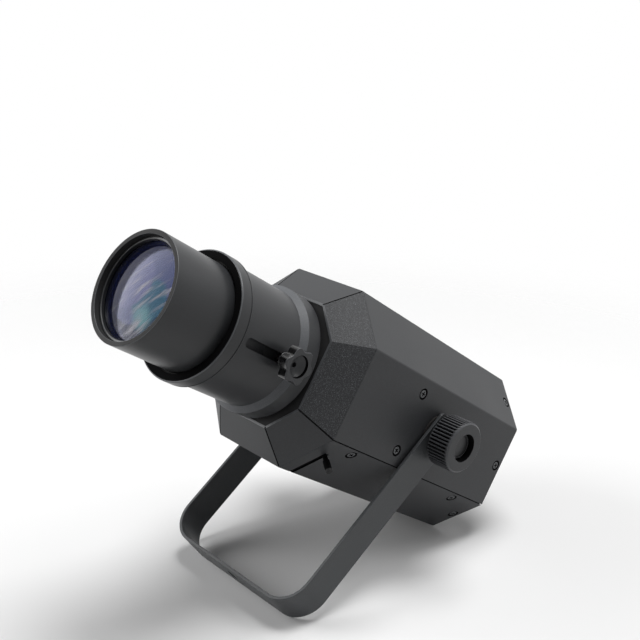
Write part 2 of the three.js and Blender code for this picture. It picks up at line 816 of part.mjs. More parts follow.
// Half ellipsoid of sheet, open at both ends, with a flange on the bracket
function reflector() {
  const rear = bracketFront - seatGap;
  const skin = (grow) => {
    const points = [];
    for (let i = 0; i <= reflectorSteps; i += 1) {
      const along = reflectorMouth + ((rear - reflectorMouth) * i) / reflectorSteps;
      const share = (along - reflectorCentre) / reflectorHalfLength;
      points.push([reflectorHalfWidth * Math.sqrt(1 - share * share) + grow, along]);
    }
    return points;
  };
  const inside = skin(0);
  const outside = skin(reflectorWall);
  const foot = outside.pop();
  return turned([
    ...inside, [reflectorFlange, rear], [reflectorFlange, rear - reflectorWall],
    [foot[0], rear - reflectorWall], ...outside.reverse(),
  ], knobSides);
}

// Base and fins in one extruded comb
function heatSink() {
  const half = sinkWidth / 2;
  const pitch = (sinkWidth - finThickness) / (finCount - 1);
  const comb = [[half, sinkFront], [half, sinkRear]];
  for (let i = finCount - 1; i >= 0; i -= 1) {
    const left = -half + i * pitch;
    const right = left + finThickness;
    if (i < finCount - 1) comb.push([right, sinkFront + sinkBase], [right, sinkRear]);
    comb.push([left, sinkRear]);
    if (i > 0) comb.push([left, sinkFront + sinkBase]);
  }
  comb.push([-half, sinkFront]);
  return alongZ(outline(comb), -sinkHeight / 2, sinkHeight / 2);
}

function fanFrame() {
  const half = fanWidth / 2;
  const frame = block(-half, half, fanFront, fanRear, -half, half);
  const bore = rodY(fanBore, fanFront - overrun, fanRear + overrun, 0, 0, knobSides);
  const shell = cut(frame, bore);
  const strutFront = fanRear - fanStrutDepth;
  const reach = fanBore + fanCorner / 2;
  const width = fanStrutWidth / 2;
  const struts = [
    block(-reach, reach, strutFront, fanRear, -width, width),
    block(-width, width, strutFront, fanRear, -reach, reach),
  ];
  const seat = rodY(fanHubRadius, strutFront, fanRear, 0, 0, knobSides);
  const shaft = rodY(fanShaftRadius + seatGap, fanFront, fanRear + overrun);
  return cut(join(shell, struts, seat), shaft);
}

function fanRotor() {
  const rear = fanRear - fanStrutDepth - seatGap;
  const front = fanFront + fanStrutDepth / 2;
  const hub = rodY(fanHubRadius, front, rear, 0, 0, knobSides);
  const shaft = rodY(fanShaftRadius, rear - seatGap, fanRear);
  const blades = [];
  const root = fanHubRadius - fanBladeThickness;
  const tip = fanBore - fanTipGap;
  for (let i = 0; i < fanBladeCount; i += 1) {
    const blade = block(
      root, tip, -fanBladeChord / 2, fanBladeChord / 2, -fanBladeThickness / 2, fanBladeThickness / 2,
    );
    blade.rotateX(THREE.MathUtils.degToRad(fanBladePitch));
    blade.translate(0, (front + rear) / 2, 0).rotateY((Math.PI * 2 * i) / fanBladeCount);
    blades.push(blade);
  }
  return join(hub, shaft, blades);
}

function powerSupply() {
  const floor = -insideHalf + seatGap;
  const base = floor + supplyFootHeight;
  const top = -sinkHeight / 2 - supplyHeadroom;
  const half = bodyHalf + bodyFlat - sheet * Math.SQRT2 + base - supplyMargin;
  const rear = panelRimFront - supplyRearGap;
  const box = block(-half, half, supplyFront, rear, base, top);
  const feet = [];
  for (const x of [-half + supplyFootInset, half - supplyFootInset]) {
    for (const y of [supplyFront + supplyFootInset, rear - supplyFootInset]) {
      feet.push(rodZ(supplyFootRadius, floor, base + supplyFootHeight, x, y, screwSides));
    }
  }
  return join(box, feet);
}

// Where the buttons and sockets sit on the rear panel
const buttonPlaces = Array.from(
  { length: buttonCount },
  (none, i) => (i - (buttonCount - 1) / 2) * buttonPitch,
);

function rearPanel() {
  const pan = cut(
    alongY(outline(insetOctagon(lining)), panelRimFront, panelFace),
    alongY(outline(insetOctagon(lining + sheet)), panelRimFront - overrun, panelBack),
  );
  const [back, out] = [panelBack - overrun, panelFace + overrun];
  const cuts = buttonPlaces.map((x) => rodY(buttonRadius + seatGap, back, out, x, buttonUp));
  const glassHalf = displayWidth / 2 + seatGap;
  const glassUp = displayHeight / 2 + seatGap;
  cuts.push(block(-glassHalf, glassHalf, back, out, displayUp - glassUp, displayUp + glassUp));
  for (const side of [1, -1]) {
    cuts.push(rodY(dataBarrelRadius + seatGap, back, out, side * dataAside, socketUp, knobSides));
    const x = side * powerAside;
    const [halfWidth, halfHeight] = [powerBlockWidth / 2 + seatGap, powerBlockHeight / 2 + seatGap];
    cuts.push(block(
      x - halfWidth, x + halfWidth, back, out, socketUp - halfHeight, socketUp + halfHeight,
    ));
  }
  for (let i = 0; i < panelVentCount; i += 1) {
    const low = panelVentUp + i * panelVentPitch;
    cuts.push(block(-panelVentWidth / 2, panelVentWidth / 2, back, out, low, low + panelVentHeight));
  }
  return drilled(cut(pan, cuts));
}

// Board with standoffs on the panel, behind the display and the buttons
function controlBoard() {
  const face = panelBack - seatGap;
  const rear = panelBack - controlGap;
  const [half, halfUp] = [boardWidth / 2, controlHeight / 2];
  const board = block(-half, half, rear - controlThickness, rear, controlUp - halfUp, controlUp + halfUp);
  const posts = [];
  for (const x of [-half + standoffInset, half - standoffInset]) {
    for (const z of [controlUp - halfUp + standoffInset, controlUp + halfUp - standoffInset]) {
      posts.push(rodY(standoffRadius, rear - controlThickness / 2, face, x, z, screwSides));
    }
  }
  return join(board, posts);
}

// Display module behind the panel, its glass in the panel's cut-out
function display() {
  const [half, halfUp] = [displayWidth / 2, displayHeight / 2];
  const rear = panelBack - controlGap + seatGap;
  const body = block(
    -half - displayFrame, half + displayFrame, rear, panelBack - seatGap,
    displayUp - halfUp - displayFrame, displayUp + halfUp + displayFrame,
  );
  const glassFace = panelBack + displayGlass;
  const glass = block(-half, half, panelBack - sheet, glassFace, displayUp - halfUp, displayUp + halfUp);
  return join(body, glass);
}

function button(x) {
  return rodY(buttonRadius, panelBack - buttonReach, panelFace + buttonRise, x, buttonUp);
}

// Round data socket with pins in a cavity, or with three holes where it is an outlet
function dataSocket(side, inlet) {
  const x = side * dataAside;
  const face = onPanel + socketFlange;
  const [half, halfUp] = [dataFlangeWidth / 2, dataFlangeHeight / 2];
  const plate = block(x - half, x + half, onPanel, face, socketUp - halfUp, socketUp + halfUp);
  const barrel = rodY(dataBarrelRadius, panelFace - dataDepth, onPanel + seatGap, x, socketUp, knobSides);
  const body = join(plate, barrel);
  const places = arc(dataPinCircle, 0, Math.PI, 2, x, socketUp);
  if (!inlet) {
    return cut(body, places.map(([px, pz]) => rodY(
      dataPinRadius + seatGap, face - dataHoleDepth, face + overrun, px, pz, screwSides,
    )));
  }
  const floor = face - dataCavityDepth;
  const cavity = rodY(dataCavityRadius, floor, face + overrun, x, socketUp, knobSides);
  const pins = places.map(([px, pz]) => rodY(
    dataPinRadius, floor - overrun, floor + dataPinLength, px, pz, screwSides,
  ));
  return join(cut(body, cavity), pins);
}

// Square power socket with blades in a cavity, or with three slots where it is an outlet
function powerSocket(side, inlet) {
  const x = side * powerAside;
  const face = onPanel + socketFlange;
  const [half, halfUp] = [powerFlangeWidth / 2, powerFlangeHeight / 2];
  const plate = block(x - half, x + half, onPanel, face, socketUp - halfUp, socketUp + halfUp);
  const [blockHalf, blockUp] = [powerBlockWidth / 2, powerBlockHeight / 2];
  const body = join(plate, block(
    x - blockHalf, x + blockHalf, panelFace - powerDepth, onPanel + seatGap,
    socketUp - blockUp, socketUp + blockUp,
  ));
  const slots = (grow, from, to) => [-1, 0, 1].map((place) => {
    const [wide, high] = [powerBladeWidth / 2 + grow, powerBladeHeight / 2 + grow];
    const middle = x + place * powerBladePitch;
    return block(middle - wide, middle + wide, from, to, socketUp - high, socketUp + high);
  });
  if (!inlet) return cut(body, slots(seatGap, face - powerHoleDepth, face + overrun));
  const floor = face - powerCavityDepth;
  const [wide, high] = [powerCavityWidth / 2, powerCavityHeight / 2];
  const cavity = block(x - wide, x + wide, floor, face + overrun, socketUp - high, socketUp + high);
  return join(cut(body, cavity), slots(0, floor - overrun, floor + powerBladeLength));
}

// Eye for the safety cable: a plate on the panel and a square loop
function safetyEye() {
  const half = eyePlateHeight / 2;
  const face = onPanel + eyePlateThickness;
  const plate = block(-eyePlateWidth / 2, eyePlateWidth / 2, onPanel, face, eyeUp - half, eyeUp + half);
  const wide = eyeThickness / 2;
  const loop = alongX(
    rectangle(face - seatGap, face + eyeReach, eyeUp - half, eyeUp + half), -wide, wide,
  );
  const hole = alongX(
    rectangle(face, face + eyeReach - eyeBar, eyeUp - half + eyeBar, eyeUp + half - eyeBar),
    -wide - overrun, wide + overrun,
  );
  return join(plate, cut(loop, hole));
}

// Yoke in its own frame: the pivot at the origin and the crossbar straight down
function yoke() {
  const [x, bend, bottom] = [yokeOuterHalf, yokeBend, -yokeDrop];
  const inside = bend - yokeBar;
  const middle = bottom + bend;
  const bent = new THREE.Shape();
  bent.moveTo(-x, yokeArmRise);
  bent.lineTo(-x, middle);
  bent.absarc(-x + bend, middle, bend, Math.PI, Math.PI * 1.5, false);
  bent.lineTo(x - bend, bottom);
  bent.absarc(x - bend, middle, bend, -Math.PI / 2, 0, false);
  bent.lineTo(x, yokeArmRise);
  bent.lineTo(x - yokeBar, yokeArmRise);
  bent.lineTo(x - yokeBar, middle);
  bent.absarc(x - bend, middle, inside, 0, -Math.PI / 2, true);
  bent.lineTo(-x + bend, bottom + yokeBar);
  bent.absarc(-x + bend, middle, inside, -Math.PI / 2, -Math.PI, true);
  bent.lineTo(-x + yokeBar, yokeArmRise);
  const half = yokeBarWidth / 2;
  const strip = alongY(bent, -half, half);
  const corners = [1, -1].map((side) => alongX(armCorner(side), -x - overrun, x + overrun));
  const pivot = rodX(boltRadius + seatGap, -x - overrun, x + overrun);
  const hole = rodZ(yokeHoleRadius, bottom - overrun, bottom + yokeBar + overrun, 0, 0, knobSides);
  return cut(strip, corners, pivot, hole);
}

// What is cut away to round one corner at the top of both arms
function armCorner(side) {
  const [half, round] = [yokeBarWidth / 2, yokeArmCorner];
  const curve = arc(round, Math.PI / 2, 0, bendSides, half - round, yokeArmRise - round);
  const points = [
    [half + overrun, yokeArmRise + overrun], [half - round, yokeArmRise + overrun],
    ...curve, [half + overrun, yokeArmRise - round],
  ];
  return outline(points.map(([across, up]) => [side * across, up]));
}

// Knob on the right: hub against the yoke, ridged grip, smooth bevelled rim, recessed centre
function clampKnob() {
  const ridges = [];
  const steps = knobRidgeCount * pointsPerRidge;
  for (let i = 0; i < steps; i += 1) {
    const angle = (Math.PI * 2 * i) / steps;
    const radius = i % pointsPerRidge === 0 ? knobRadius : knobRadius - knobRidgeDepth;
    ridges.push([radius * Math.cos(angle), radius * Math.sin(angle)]);
  }
  const grip = alongX(outline(ridges), knobGripStart, knobRimStart);
  const rim = turned([
    [boltRadius, -knobFace], [knobRadius - knobRimBevel, -knobFace],
    [knobRadius, -knobFace + knobRimBevel], [knobRadius, -knobRimStart + seatGap],
    [boltRadius, -knobRimStart + seatGap],
  ], knobSides).rotateZ(Math.PI / 2);
  const hub = rodX(knobHubRadius, knobBack, knobGripStart + seatGap, 0, 0, knobSides);
  const recess = rodX(
    knobRecessRadius, knobFace - knobRecessDepth, knobFace + overrun, 0, 0, knobSides,
  );
  const bore = rodX(boltRadius + seatGap, knobBack - overrun, knobFace);
  return cut(join(grip, rim, hub), recess, bore).translate(0, pivotBehind, 0);
}

// Bolt with a low wide head, through knob, yoke, washer and cover into the bracket's nut
function pivotBolt() {
  const top = boltSeat + boltHeadLength;
  const inside = boltRadius - seatGap;
  const head = turned([
    [inside, -top], [boltHeadRadius - boltHeadEdge, -top], [boltHeadRadius, -top + boltHeadEdge],
    [boltHeadRadius, -boltSeat], [inside, -boltSeat],
  ], knobSides).rotateZ(Math.PI / 2);
  return join(rodX(boltRadius, boltEnd, top), head).translate(0, pivotBehind, 0);
}

function frictionWasher() {
  const disc = ring(
    boltRadius + seatGap, washerRadius, bodyHalf + seatGap, yokeInnerHalf - seatGap, knobSides,
  );
  return disc.rotateZ(-Math.PI / 2).translate(0, pivotBehind, 0);
}

// Finishes
const looks = {
  coat: { color: 0x2e3032, roughness: 0.55, metalness: 0.3 },
  coarseCoat: { color: 0x323436, roughness: 0.8, metalness: 0.2 },
  barrelCoat: { color: 0x37393b, roughness: 0.45, metalness: 0.4 },
  plateBlack: { color: 0x161718, roughness: 0.7, metalness: 0.2 },
  knobPlastic: { color: 0x1b1c1e, roughness: 0.5, metalness: 0 },
  glossPlastic: { color: 0x101112, roughness: 0.2, metalness: 0 },
  steel: { color: 0x8d9093, roughness: 0.35, metalness: 1 },
  blackSteel: { color: 0x222324, roughness: 0.4, metalness: 0.9 },
  aluminium: { color: 0xc4c7ca, roughness: 0.3, metalness: 1 },
  glass: { color: 0x9fb6d8, roughness: 0.05, metalness: 0, transparent: true, opacity: 0.35 },
  green: { color: 0x1f5b3a, roughness: 0.5, metalness: 0 },
  emitter: { color: 0xe8d889, roughness: 0.4, metalness: 0 },
  fibre: { color: 0x3b2f28, roughness: 0.8, metalness: 0 },
};

function add(parent, name, geometry, look) {
  const mesh = new THREE.Mesh(geometry, new THREE.MeshStandardMaterial({ ...look, flatShading: true }));
  mesh.name = name;
  parent.add(mesh);
}

// The left-hand copy of a piece drawn on the right is turned half round about Z at the pivot
function turnedLeft(geometry) {
  return geometry.translate(0, -pivotBehind, 0).rotateZ(Math.PI).translate(0, pivotBehind, 0);
}

const housing = new THREE.Group();
add(housing, 'upper_cover', upperCover(), looks.coat);
add(housing, 'lower_tray', lowerTray(), looks.coat);
add(housing, 'nose_cone', noseCone(), looks.coarseCoat);
add(housing, 'front_plate', frontPlate(), looks.plateBlack);
add(housing, 'lens_sleeve', lensSleeve(), looks.barrelCoat);
add(housing, 'lens_tube', lensTube(), looks.barrelCoat);
add(housing, 'front_lens', frontLens(), looks.glass);
add(housing, 'lens_ring', lensRing(), looks.steel);
add(housing, 'star_knob', starKnob(), looks.glossPlastic);
add(housing, 'focus_stud', focusStud(), looks.steel);
add(housing, 'gate_plate', gatePlate(), looks.plateBlack);
add(housing, 'iris_cage', irisCage(), looks.plateBlack);
add(housing, 'iris_ring', irisRing(), looks.blackSteel);
bladeAngles().forEach((angle, i) => {
  add(housing, `iris_blade_${i + 1}`, irisBlade(i, angle), looks.blackSteel);
});
add(housing, 'engine_bracket', engineBracket(), looks.steel);
add(housing, 'reflector', reflector(), looks.aluminium);
add(housing, 'led_board', ledBoard(), looks.emitter);
add(housing, 'heat_sink', heatSink(), looks.aluminium);
add(housing, 'fan_frame', fanFrame(), looks.plateBlack);
add(housing, 'fan_rotor', fanRotor(), looks.plateBlack);
add(housing, 'power_supply', powerSupply(), looks.steel);
add(housing, 'rear_panel', rearPanel(), looks.coat);
add(housing, 'control_board', controlBoard(), looks.green);
add(housing, 'display', display(), looks.glossPlastic);
buttonPlaces.forEach((x, i) => add(housing, `button_${i + 1}`, button(x), looks.knobPlastic));
add(housing, 'data_inlet', dataSocket(1, true), looks.knobPlastic);
add(housing, 'data_outlet', dataSocket(-1, false), looks.knobPlastic);
add(housing, 'power_inlet', powerSocket(1, true), looks.knobPlastic);
add(housing, 'power_outlet', powerSocket(-1, false), looks.knobPlastic);
add(housing, 'safety_eye', safetyEye(), looks.steel);
screwPlaces().forEach((place) => {
  add(housing, place.name, turnedTo(screwBody(0, 0, screwLength), place), looks.blackSteel);
});
add(housing, 'clamp_knob_right', clampKnob(), looks.knobPlastic);
add(housing, 'clamp_knob_left', turnedLeft(clampKnob()), looks.knobPlastic);
add(housing, 'pivot_bolt_right', pivotBolt(), looks.blackSteel);
add(housing, 'pivot_bolt_left', turnedLeft(pivotBolt()), looks.blackSteel);
add(housing, 'friction_washer_right', frictionWasher(), looks.fibre);
add(housing, 'friction_washer_left', turnedLeft(frictionWasher()), looks.fibre);

const hanger = new THREE.Group();
hanger.position.y = pivotBehind;
hanger.rotation.x = -lean;
add(hanger, 'yoke', yoke(), looks.coat);
housing.add(hanger);

// The housing is pitched until the crossbar's rear corner and the tray's rear edge are level
const cornerBehind = pivotBehind - yokeDrop * Math.sin(lean) + (yokeBarWidth / 2) * Math.cos(lean);
const cornerDown = yokeDrop * Math.cos(lean) + (yokeBarWidth / 2) * Math.sin(lean);
housing.rotation.x = -Math.atan2(cornerDown - bodyHalf, bodyLength - cornerBehind);

// The origin is the middle of the foot of the whole spotlight
const group = new THREE.Group();
group.add(housing);
group.updateMatrixWorld(true);
const extent = new THREE.Box3().setFromObject(group, true);
housing.position.set(0, -(extent.min.y + extent.max.y) / 2, -extent.min.z);

export default group;
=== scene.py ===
"""Looks of a profile spotlight: housing, lens barrel, yoke, knobs, iris lever and rear panel.

Sizes are millimetres. Pieces are drawn in the housing's own frame, X to the right as seen from
the lens end, Y to the rear along the optical axis and Z up, or in the yoke's, whose pivot is its
origin and whose crossbar lies straight down. Each finished mesh is then put in the row's frame.
"""
import json
import logging
import math
from dataclasses import dataclass, field
from enum import Enum
from typing import Callable, Iterable, Mapping, Sequence

import bmesh
import bpy
from mathutils import Matrix, Vector


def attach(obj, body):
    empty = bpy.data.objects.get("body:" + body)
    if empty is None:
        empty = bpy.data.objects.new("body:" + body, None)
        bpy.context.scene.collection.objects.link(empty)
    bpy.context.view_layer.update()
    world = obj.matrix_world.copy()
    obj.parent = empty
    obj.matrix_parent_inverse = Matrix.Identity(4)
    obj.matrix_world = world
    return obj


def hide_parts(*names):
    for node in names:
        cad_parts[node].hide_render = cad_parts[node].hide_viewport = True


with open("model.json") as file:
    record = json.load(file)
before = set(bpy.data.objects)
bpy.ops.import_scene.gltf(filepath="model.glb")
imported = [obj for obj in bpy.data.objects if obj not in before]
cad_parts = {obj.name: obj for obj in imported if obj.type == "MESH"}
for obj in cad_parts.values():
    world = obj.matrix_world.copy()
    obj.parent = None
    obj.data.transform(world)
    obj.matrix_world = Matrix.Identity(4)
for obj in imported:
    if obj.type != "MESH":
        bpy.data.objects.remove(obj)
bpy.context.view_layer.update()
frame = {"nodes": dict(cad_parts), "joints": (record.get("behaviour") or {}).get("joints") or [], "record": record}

LOG = logging.getLogger("spotlight")

Pair = tuple[float, float]
Triple = tuple[float, float, float]
Test = Callable[[Vector, Vector], bool]
Tree = bpy.types.NodeTree
Node = bpy.types.Node
Socket = bpy.types.NodeSocket
Feed = Node | Socket            # a node stands for its first output

MM = 0.001                  # metres in a millimetre
OVERRUN = 2.0               # how far a cutter runs past what it cuts
FINE = 160                  # sides of a large round
ROUND = 64                  # sides of a knob or a socket
SMOOTH_ANGLE = math.radians(32)     # edges sharper than this stay sharp
ON_AXIS = 1e-6              # radius under which a turned point lies on the axis
LONGEST_ROUND = 0.49        # share of an edge that the round at one end may take
MERGE = 0.005               # distance at which a CAD node's loose corners become one
FLAT_ANGLE = math.radians(0.5)      # lean under which a CAD node's triangles are one face
SLIVER = 0.003              # length under which an edge is dissolved


# Frames of reference


@dataclass(frozen=True)
class HousingSizes:
    """Sizes of the folded housing that several of its pieces share.

    Args:
        half: half its width.
        chamfer: leg of each chamfer.
        length: from the shoulder to the rear panel's face.
        sheet: thickness of the sheet.
        lining: from the covers' outside to what lies against their inside.
        pivot: from the shoulder to the yoke's pivot.
        pivot_hole: radius of the pivot's holes.
    """

    half: float = 85.0
    chamfer: float = 42.5
    length: float = 255.0
    sheet: float = 1.5
    lining: float = 1.8
    pivot: float = 129.5
    pivot_hole: float = 4.3

    @property
    def flat(self) -> float:
        """Half the width of its flats."""
        return self.half - self.chamfer


SHELL = HousingSizes()


class Frame(Enum):
    """The frame that a piece is drawn in."""

    HOUSING = 1
    YOKE = 2


class Stance:
    """Where the housing and the yoke stand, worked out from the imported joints."""

    def __init__(self) -> None:
        """Reads the pivot and the directions."""
        joints = {joint["name"]: joint for joint in frame["joints"]}
        mounts = {mount["name"]: mount for mount in frame["record"]["mounts"]}
        right = Vector((1.0, 0.0, 0.0))
        rear = -Vector(joints["focus_slide"]["axis"]).normalized()
        pivot = Vector(joints["yoke_tilt"]["pos_m"])
        shoulder = pivot - rear * SHELL.pivot * MM
        yoke_up = -Vector(mounts["yoke_clamp_face"]["axis"]).normalized()
        self.places = {
            Frame.HOUSING: self.place(right, rear, right.cross(rear), shoulder),
            Frame.YOKE: self.place(right, yoke_up.cross(right), yoke_up, pivot)}
        self.pitch = math.atan2(rear.z, rear.y)

    @staticmethod
    def place(right: Vector, rear: Vector, up: Vector, origin: Vector) -> Matrix:
        """Matrix from one frame to the row's.

        Args:
            right: the frame's X.
            rear: the frame's Y.
            up: the frame's Z.
            origin: the frame's origin in metres.

        Returns:
            The matrix, which also turns millimetres into metres.
        """
        turn = Matrix((right, rear, up)).transposed().to_4x4()
        return Matrix.Translation(origin) @ turn @ Matrix.Scale(MM, 4)


STANCE = Stance()


# Flat outlines


class Axis(Enum):
    """Direction that a flat outline is pushed along. Its value names the outline's own two."""

    X = "yz"
    Y = "xz"
    Z = "xy"

    def point(self, first: float, second: float, along: float) -> Vector:
        """Point of an outline at a place along the axis.

        Args:
            first: the outline's first number.
            second: its second.
            along: place along the axis.

        Returns:
            The point.
        """
        if self is Axis.X:
            return Vector((along, first, second))
        if self is Axis.Y:
            return Vector((first, along, second))
        return Vector((first, second, along))


def octagon(half: float, leg: float) -> list[Pair]:
    """Square with chamfered corners.

    Args:
        half: half its width.
        leg: leg of each chamfer.

    Returns:
        Eight corners, from the lower right one upwards.
    """
    flat = half - leg
    return [
        (half, -flat), (half, flat), (flat, half), (-flat, half), (-half, flat), (-half, -flat),
        (-flat, -half), (flat, -half)]


def inset_leg(leg: float, depth: float) -> float:
    """Leg of a chamfer after its octagon is inset by a depth."""
    return leg - depth * (2 - math.sqrt(2))


def rectangle(low: Pair, high: Pair) -> list[Pair]:
    """Corners of a rectangle from its lowest and highest."""
    return [low, (high[0], low[1]), high, (low[0], high[1])]


def circle(radius: float, sides: int, centre: Pair = (0.0, 0.0)) -> list[Pair]:
    """Points of a circle."""
    angles = [2 * math.pi * i / sides for i in range(sides)]
    return [(centre[0] + radius * math.cos(a), centre[1] + radius * math.sin(a)) for a in angles]


def filleted(points: Sequence[Pair], radius: float | Mapping[int, float], steps: int = 5) -> list[Pair]:
    """Rounds the corners of an outline.

    Args:
        points: its corners.
        radius: one radius for all corners, or a radius for each corner's number.
        steps: flat steps in a round.

    Returns:
        The points of the rounded outline.
    """
    rounded: list[Pair] = []
    count = len(points)
    for i, corner in enumerate(points):
        wanted = radius if isinstance(radius, (int, float)) else radius.get(i, 0.0)
        if wanted <= 0:
            rounded.append(tuple(corner))
            continue
        here = Vector(corner)
        before = Vector(points[i - 1]) - here
        after = Vector(points[(i + 1) % count]) - here
        half_angle = before.angle(after) / 2
        room = LONGEST_ROUND * min(before.length, after.length)
        reach = min(wanted / math.tan(half_angle), room)
        fitted = reach * math.tan(half_angle)
        bisector = (before.normalized() + after.normalized()).normalized()
        centre = here + bisector * (fitted / math.sin(half_angle))
        start = here + before.normalized() * reach - centre
        end = here + after.normalized() * reach - centre
        first = math.atan2(start.y, start.x)
        sweep = math.atan2(end.y, end.x) - first
        sweep = (sweep + math.pi) % (2 * math.pi) - math.pi
        for step in range(steps + 1):
            angle = first + sweep * step / steps
            rounded.append((centre.x + fitted * math.cos(angle), centre.y + fitted * math.sin(angle)))
    return rounded


# Solid forms


class Form:
    """A closed mesh in the making, in millimetres in one of the frames."""

    def __init__(self, mesh: bpy.types.Mesh) -> None:
        """Takes a mesh over."""
        self.mesh = mesh

    @classmethod
    def from_bmesh(cls, shape: bmesh.types.BMesh) -> "Form":
        """Makes a form of a bmesh, its faces turned outwards, and frees the bmesh.

        Args:
            shape: the bmesh.

        Returns:
            The form.
        """
        bmesh.ops.recalc_face_normals(shape, faces=shape.faces)
        mesh = bpy.data.meshes.new("form")
        shape.to_mesh(mesh)
        shape.free()
        return cls(mesh)

    @classmethod
    def prism(cls, outline: Sequence[Pair], axis: Axis, start: float, end: float) -> "Form":
        """Pushes an outline along an axis.

        Args:
            outline: points of the outline.
            axis: direction of the push.
            start: where it starts along the axis.
            end: where it ends.

        Returns:
            The closed form.
        """
        shape = bmesh.new()
        rings = [[shape.verts.new(axis.point(a, b, along)) for a, b in outline] for along in (start, end)]
        shape.faces.new(rings[0])
        shape.faces.new(reversed(rings[1]))
        count = len(outline)
        for i in range(count):
            j = (i + 1) % count
            shape.faces.new((rings[0][i], rings[1][i], rings[1][j], rings[0][j]))
        return cls.from_bmesh(shape)

    @classmethod
    def turned(cls, profile: Sequence[Pair], steps: int = FINE) -> "Form":
        """Turns a profile round the Y axis.

        Args:
            profile: radius and place along Y of each point. It closes on itself, or starts and
                ends on the axis.
            steps: sides of the round.

        Returns:
            The closed form.
        """
        shape = bmesh.new()
        rings: list[list[bmesh.types.BMVert]] = []
        for radius, along in profile:
            if radius < ON_AXIS:
                rings.append([shape.verts.new((0.0, along, 0.0))])
            else:
                rings.append([shape.verts.new((a, along, b)) for a, b in circle(radius, steps)])
        pairs = list(zip(rings, rings[1:]))
        if len(rings[0]) > 1:
            pairs.append((rings[-1], rings[0]))
        for near, far in pairs:
            for i in range(steps):
                j = (i + 1) % steps
                corners = (near[i % len(near)], near[j % len(near)], far[j % len(far)], far[i % len(far)])
                kept = list(dict.fromkeys(corners))
                if len(kept) > 2:
                    shape.faces.new(kept)
        return cls.from_bmesh(shape)

    @classmethod
    def lofted(cls, loops: Sequence[Sequence[Vector]]) -> "Form":
        """Skin over a closed ring of loops with equally many points.

        Args:
            loops: the loops, in order.

        Returns:
            The closed form.
        """
        shape = bmesh.new()
        rings = [[shape.verts.new(point) for point in loop] for loop in loops]
        for near, far in zip(rings, rings[1:] + rings[:1]):
            count = len(near)
            for i in range(count):
                j = (i + 1) % count
                shape.faces.new((near[i], near[j], far[j], far[i]))
        return cls.from_bmesh(shape)

    @classmethod
    def of_node(cls, node: str) -> "Form":
        """Copy of a CAD node, its triangles merged and its flat faces made whole again.

        Args:
            node: the node's name.

        Returns:
            The copy, in the housing's frame.
        """
        shape = bmesh.new()
        shape.from_mesh(frame["nodes"][node].data)
        shape.transform(STANCE.places[Frame.HOUSING].inverted())
        bmesh.ops.remove_doubles(shape, verts=shape.verts, dist=MERGE)
        bmesh.ops.dissolve_limit(shape, angle_limit=FLAT_ANGLE, verts=shape.verts, edges=shape.edges)
        return cls.from_bmesh(shape)

    def copy(self) -> "Form":
        """Another form of the same shape."""
        return Form(self.mesh.copy())

    def moved(self, matrix: Matrix) -> "Form":
        """Moves or turns the form.

        Args:
            matrix: how it moves.

        Returns:
            This form, moved.
        """
        self.mesh.transform(matrix)
        if matrix.determinant() < 0:
            self.mesh.flip_normals()
        return self

    def joined(self, others: Iterable["Form"]) -> "Form":
        """Adds the faces of others, without a boolean.

        Args:
            others: the forms to add, which stay as they are.

        Returns:
            This form, with their faces.
        """
        shape = bmesh.new()
        shape.from_mesh(self.mesh)
        for other in others:
            shape.from_mesh(other.mesh)
        shape.to_mesh(self.mesh)
        shape.free()
        return self

    def modified(self, kind: str, others: Sequence["Form"] = (), **settings: object) -> "Form":
        """Applies one modifier.

        Args:
            kind: the modifier's type.
            others: forms whose meshes a boolean takes, all at once.
            settings: the modifier's own values.

        Returns:
            This form, changed.
        """
        piece = new_object("working", self.mesh)
        modifier = piece.modifiers.new("step", kind)
        for key, value in settings.items():
            setattr(modifier, key, value)
        helper = None
        if others:
            helper = new_object("helper", others[0].copy().joined(others[1:]).mesh)
            modifier.object = helper
        self.mesh = evaluated(piece)
        bpy.data.objects.remove(piece)
        if helper:
            bpy.data.objects.remove(helper)
        return self

    def cut(self, *others: "Form") -> "Form":
        """Takes other forms away, which may not overlap each other."""
        return self.modified("BOOLEAN", others, operation="DIFFERENCE", solver="EXACT")

    def merged(self, *others: "Form") -> "Form":
        """Joins other forms to this one as one skin.

        Args:
            others: the forms, merged one by one.

        Returns:
            This form, changed.
        """
        for other in others:
            self.modified("BOOLEAN", [other], operation="UNION", solver="EXACT")
        return self

    def eased(self, width: float, segments: int = 2, angle: float = 30.0) -> "Form":
        """Rounds every edge sharper than an angle.

        Args:
            width: width of the round.
            segments: steps in it.
            angle: least angle of a rounded edge, in degrees.

        Returns:
            This form, its edges rounded.
        """
        return self.modified(
            "BEVEL", width=width, segments=segments, limit_method="ANGLE", angle_limit=math.radians(angle),
            harden_normals=True, use_clamp_overlap=True, miter_outer="MITER_ARC")

    def cleaned(self) -> "Form":
        """Takes away edges without length and faces without area, which booleans leave.

        Returns:
            This form, cleaned.
        """
        shape = bmesh.new()
        shape.from_mesh(self.mesh)
        bmesh.ops.dissolve_degenerate(shape, dist=SLIVER, edges=shape.edges)
        shape.to_mesh(self.mesh)
        shape.free()
        return self

    def painted(self, index: int, where: Test) -> "Form":
        """Gives the faces that pass a test the finish with that number.

        Args:
            index: number of the finish.
            where: test of a face's middle and outward direction.

        Returns:
            This form, painted.
        """
        for face in self.mesh.polygons:
            if where(face.center, face.normal):
                face.material_index = index
        return self


def new_object(name: str, data: bpy.types.ID) -> bpy.types.Object:
    """Adds an object to the scene.

    Args:
        name: its name.
        data: its mesh, curve, lamp or camera.

    Returns:
        The object.
    """
    made = bpy.data.objects.new(name, data)
    bpy.context.scene.collection.objects.link(made)
    return made


def evaluated(piece: bpy.types.Object) -> bpy.types.Mesh:
    """The mesh of an object after its modifiers."""
    graph = bpy.context.evaluated_depsgraph_get()
    return bpy.data.meshes.new_from_object(piece.evaluated_get(graph), depsgraph=graph)


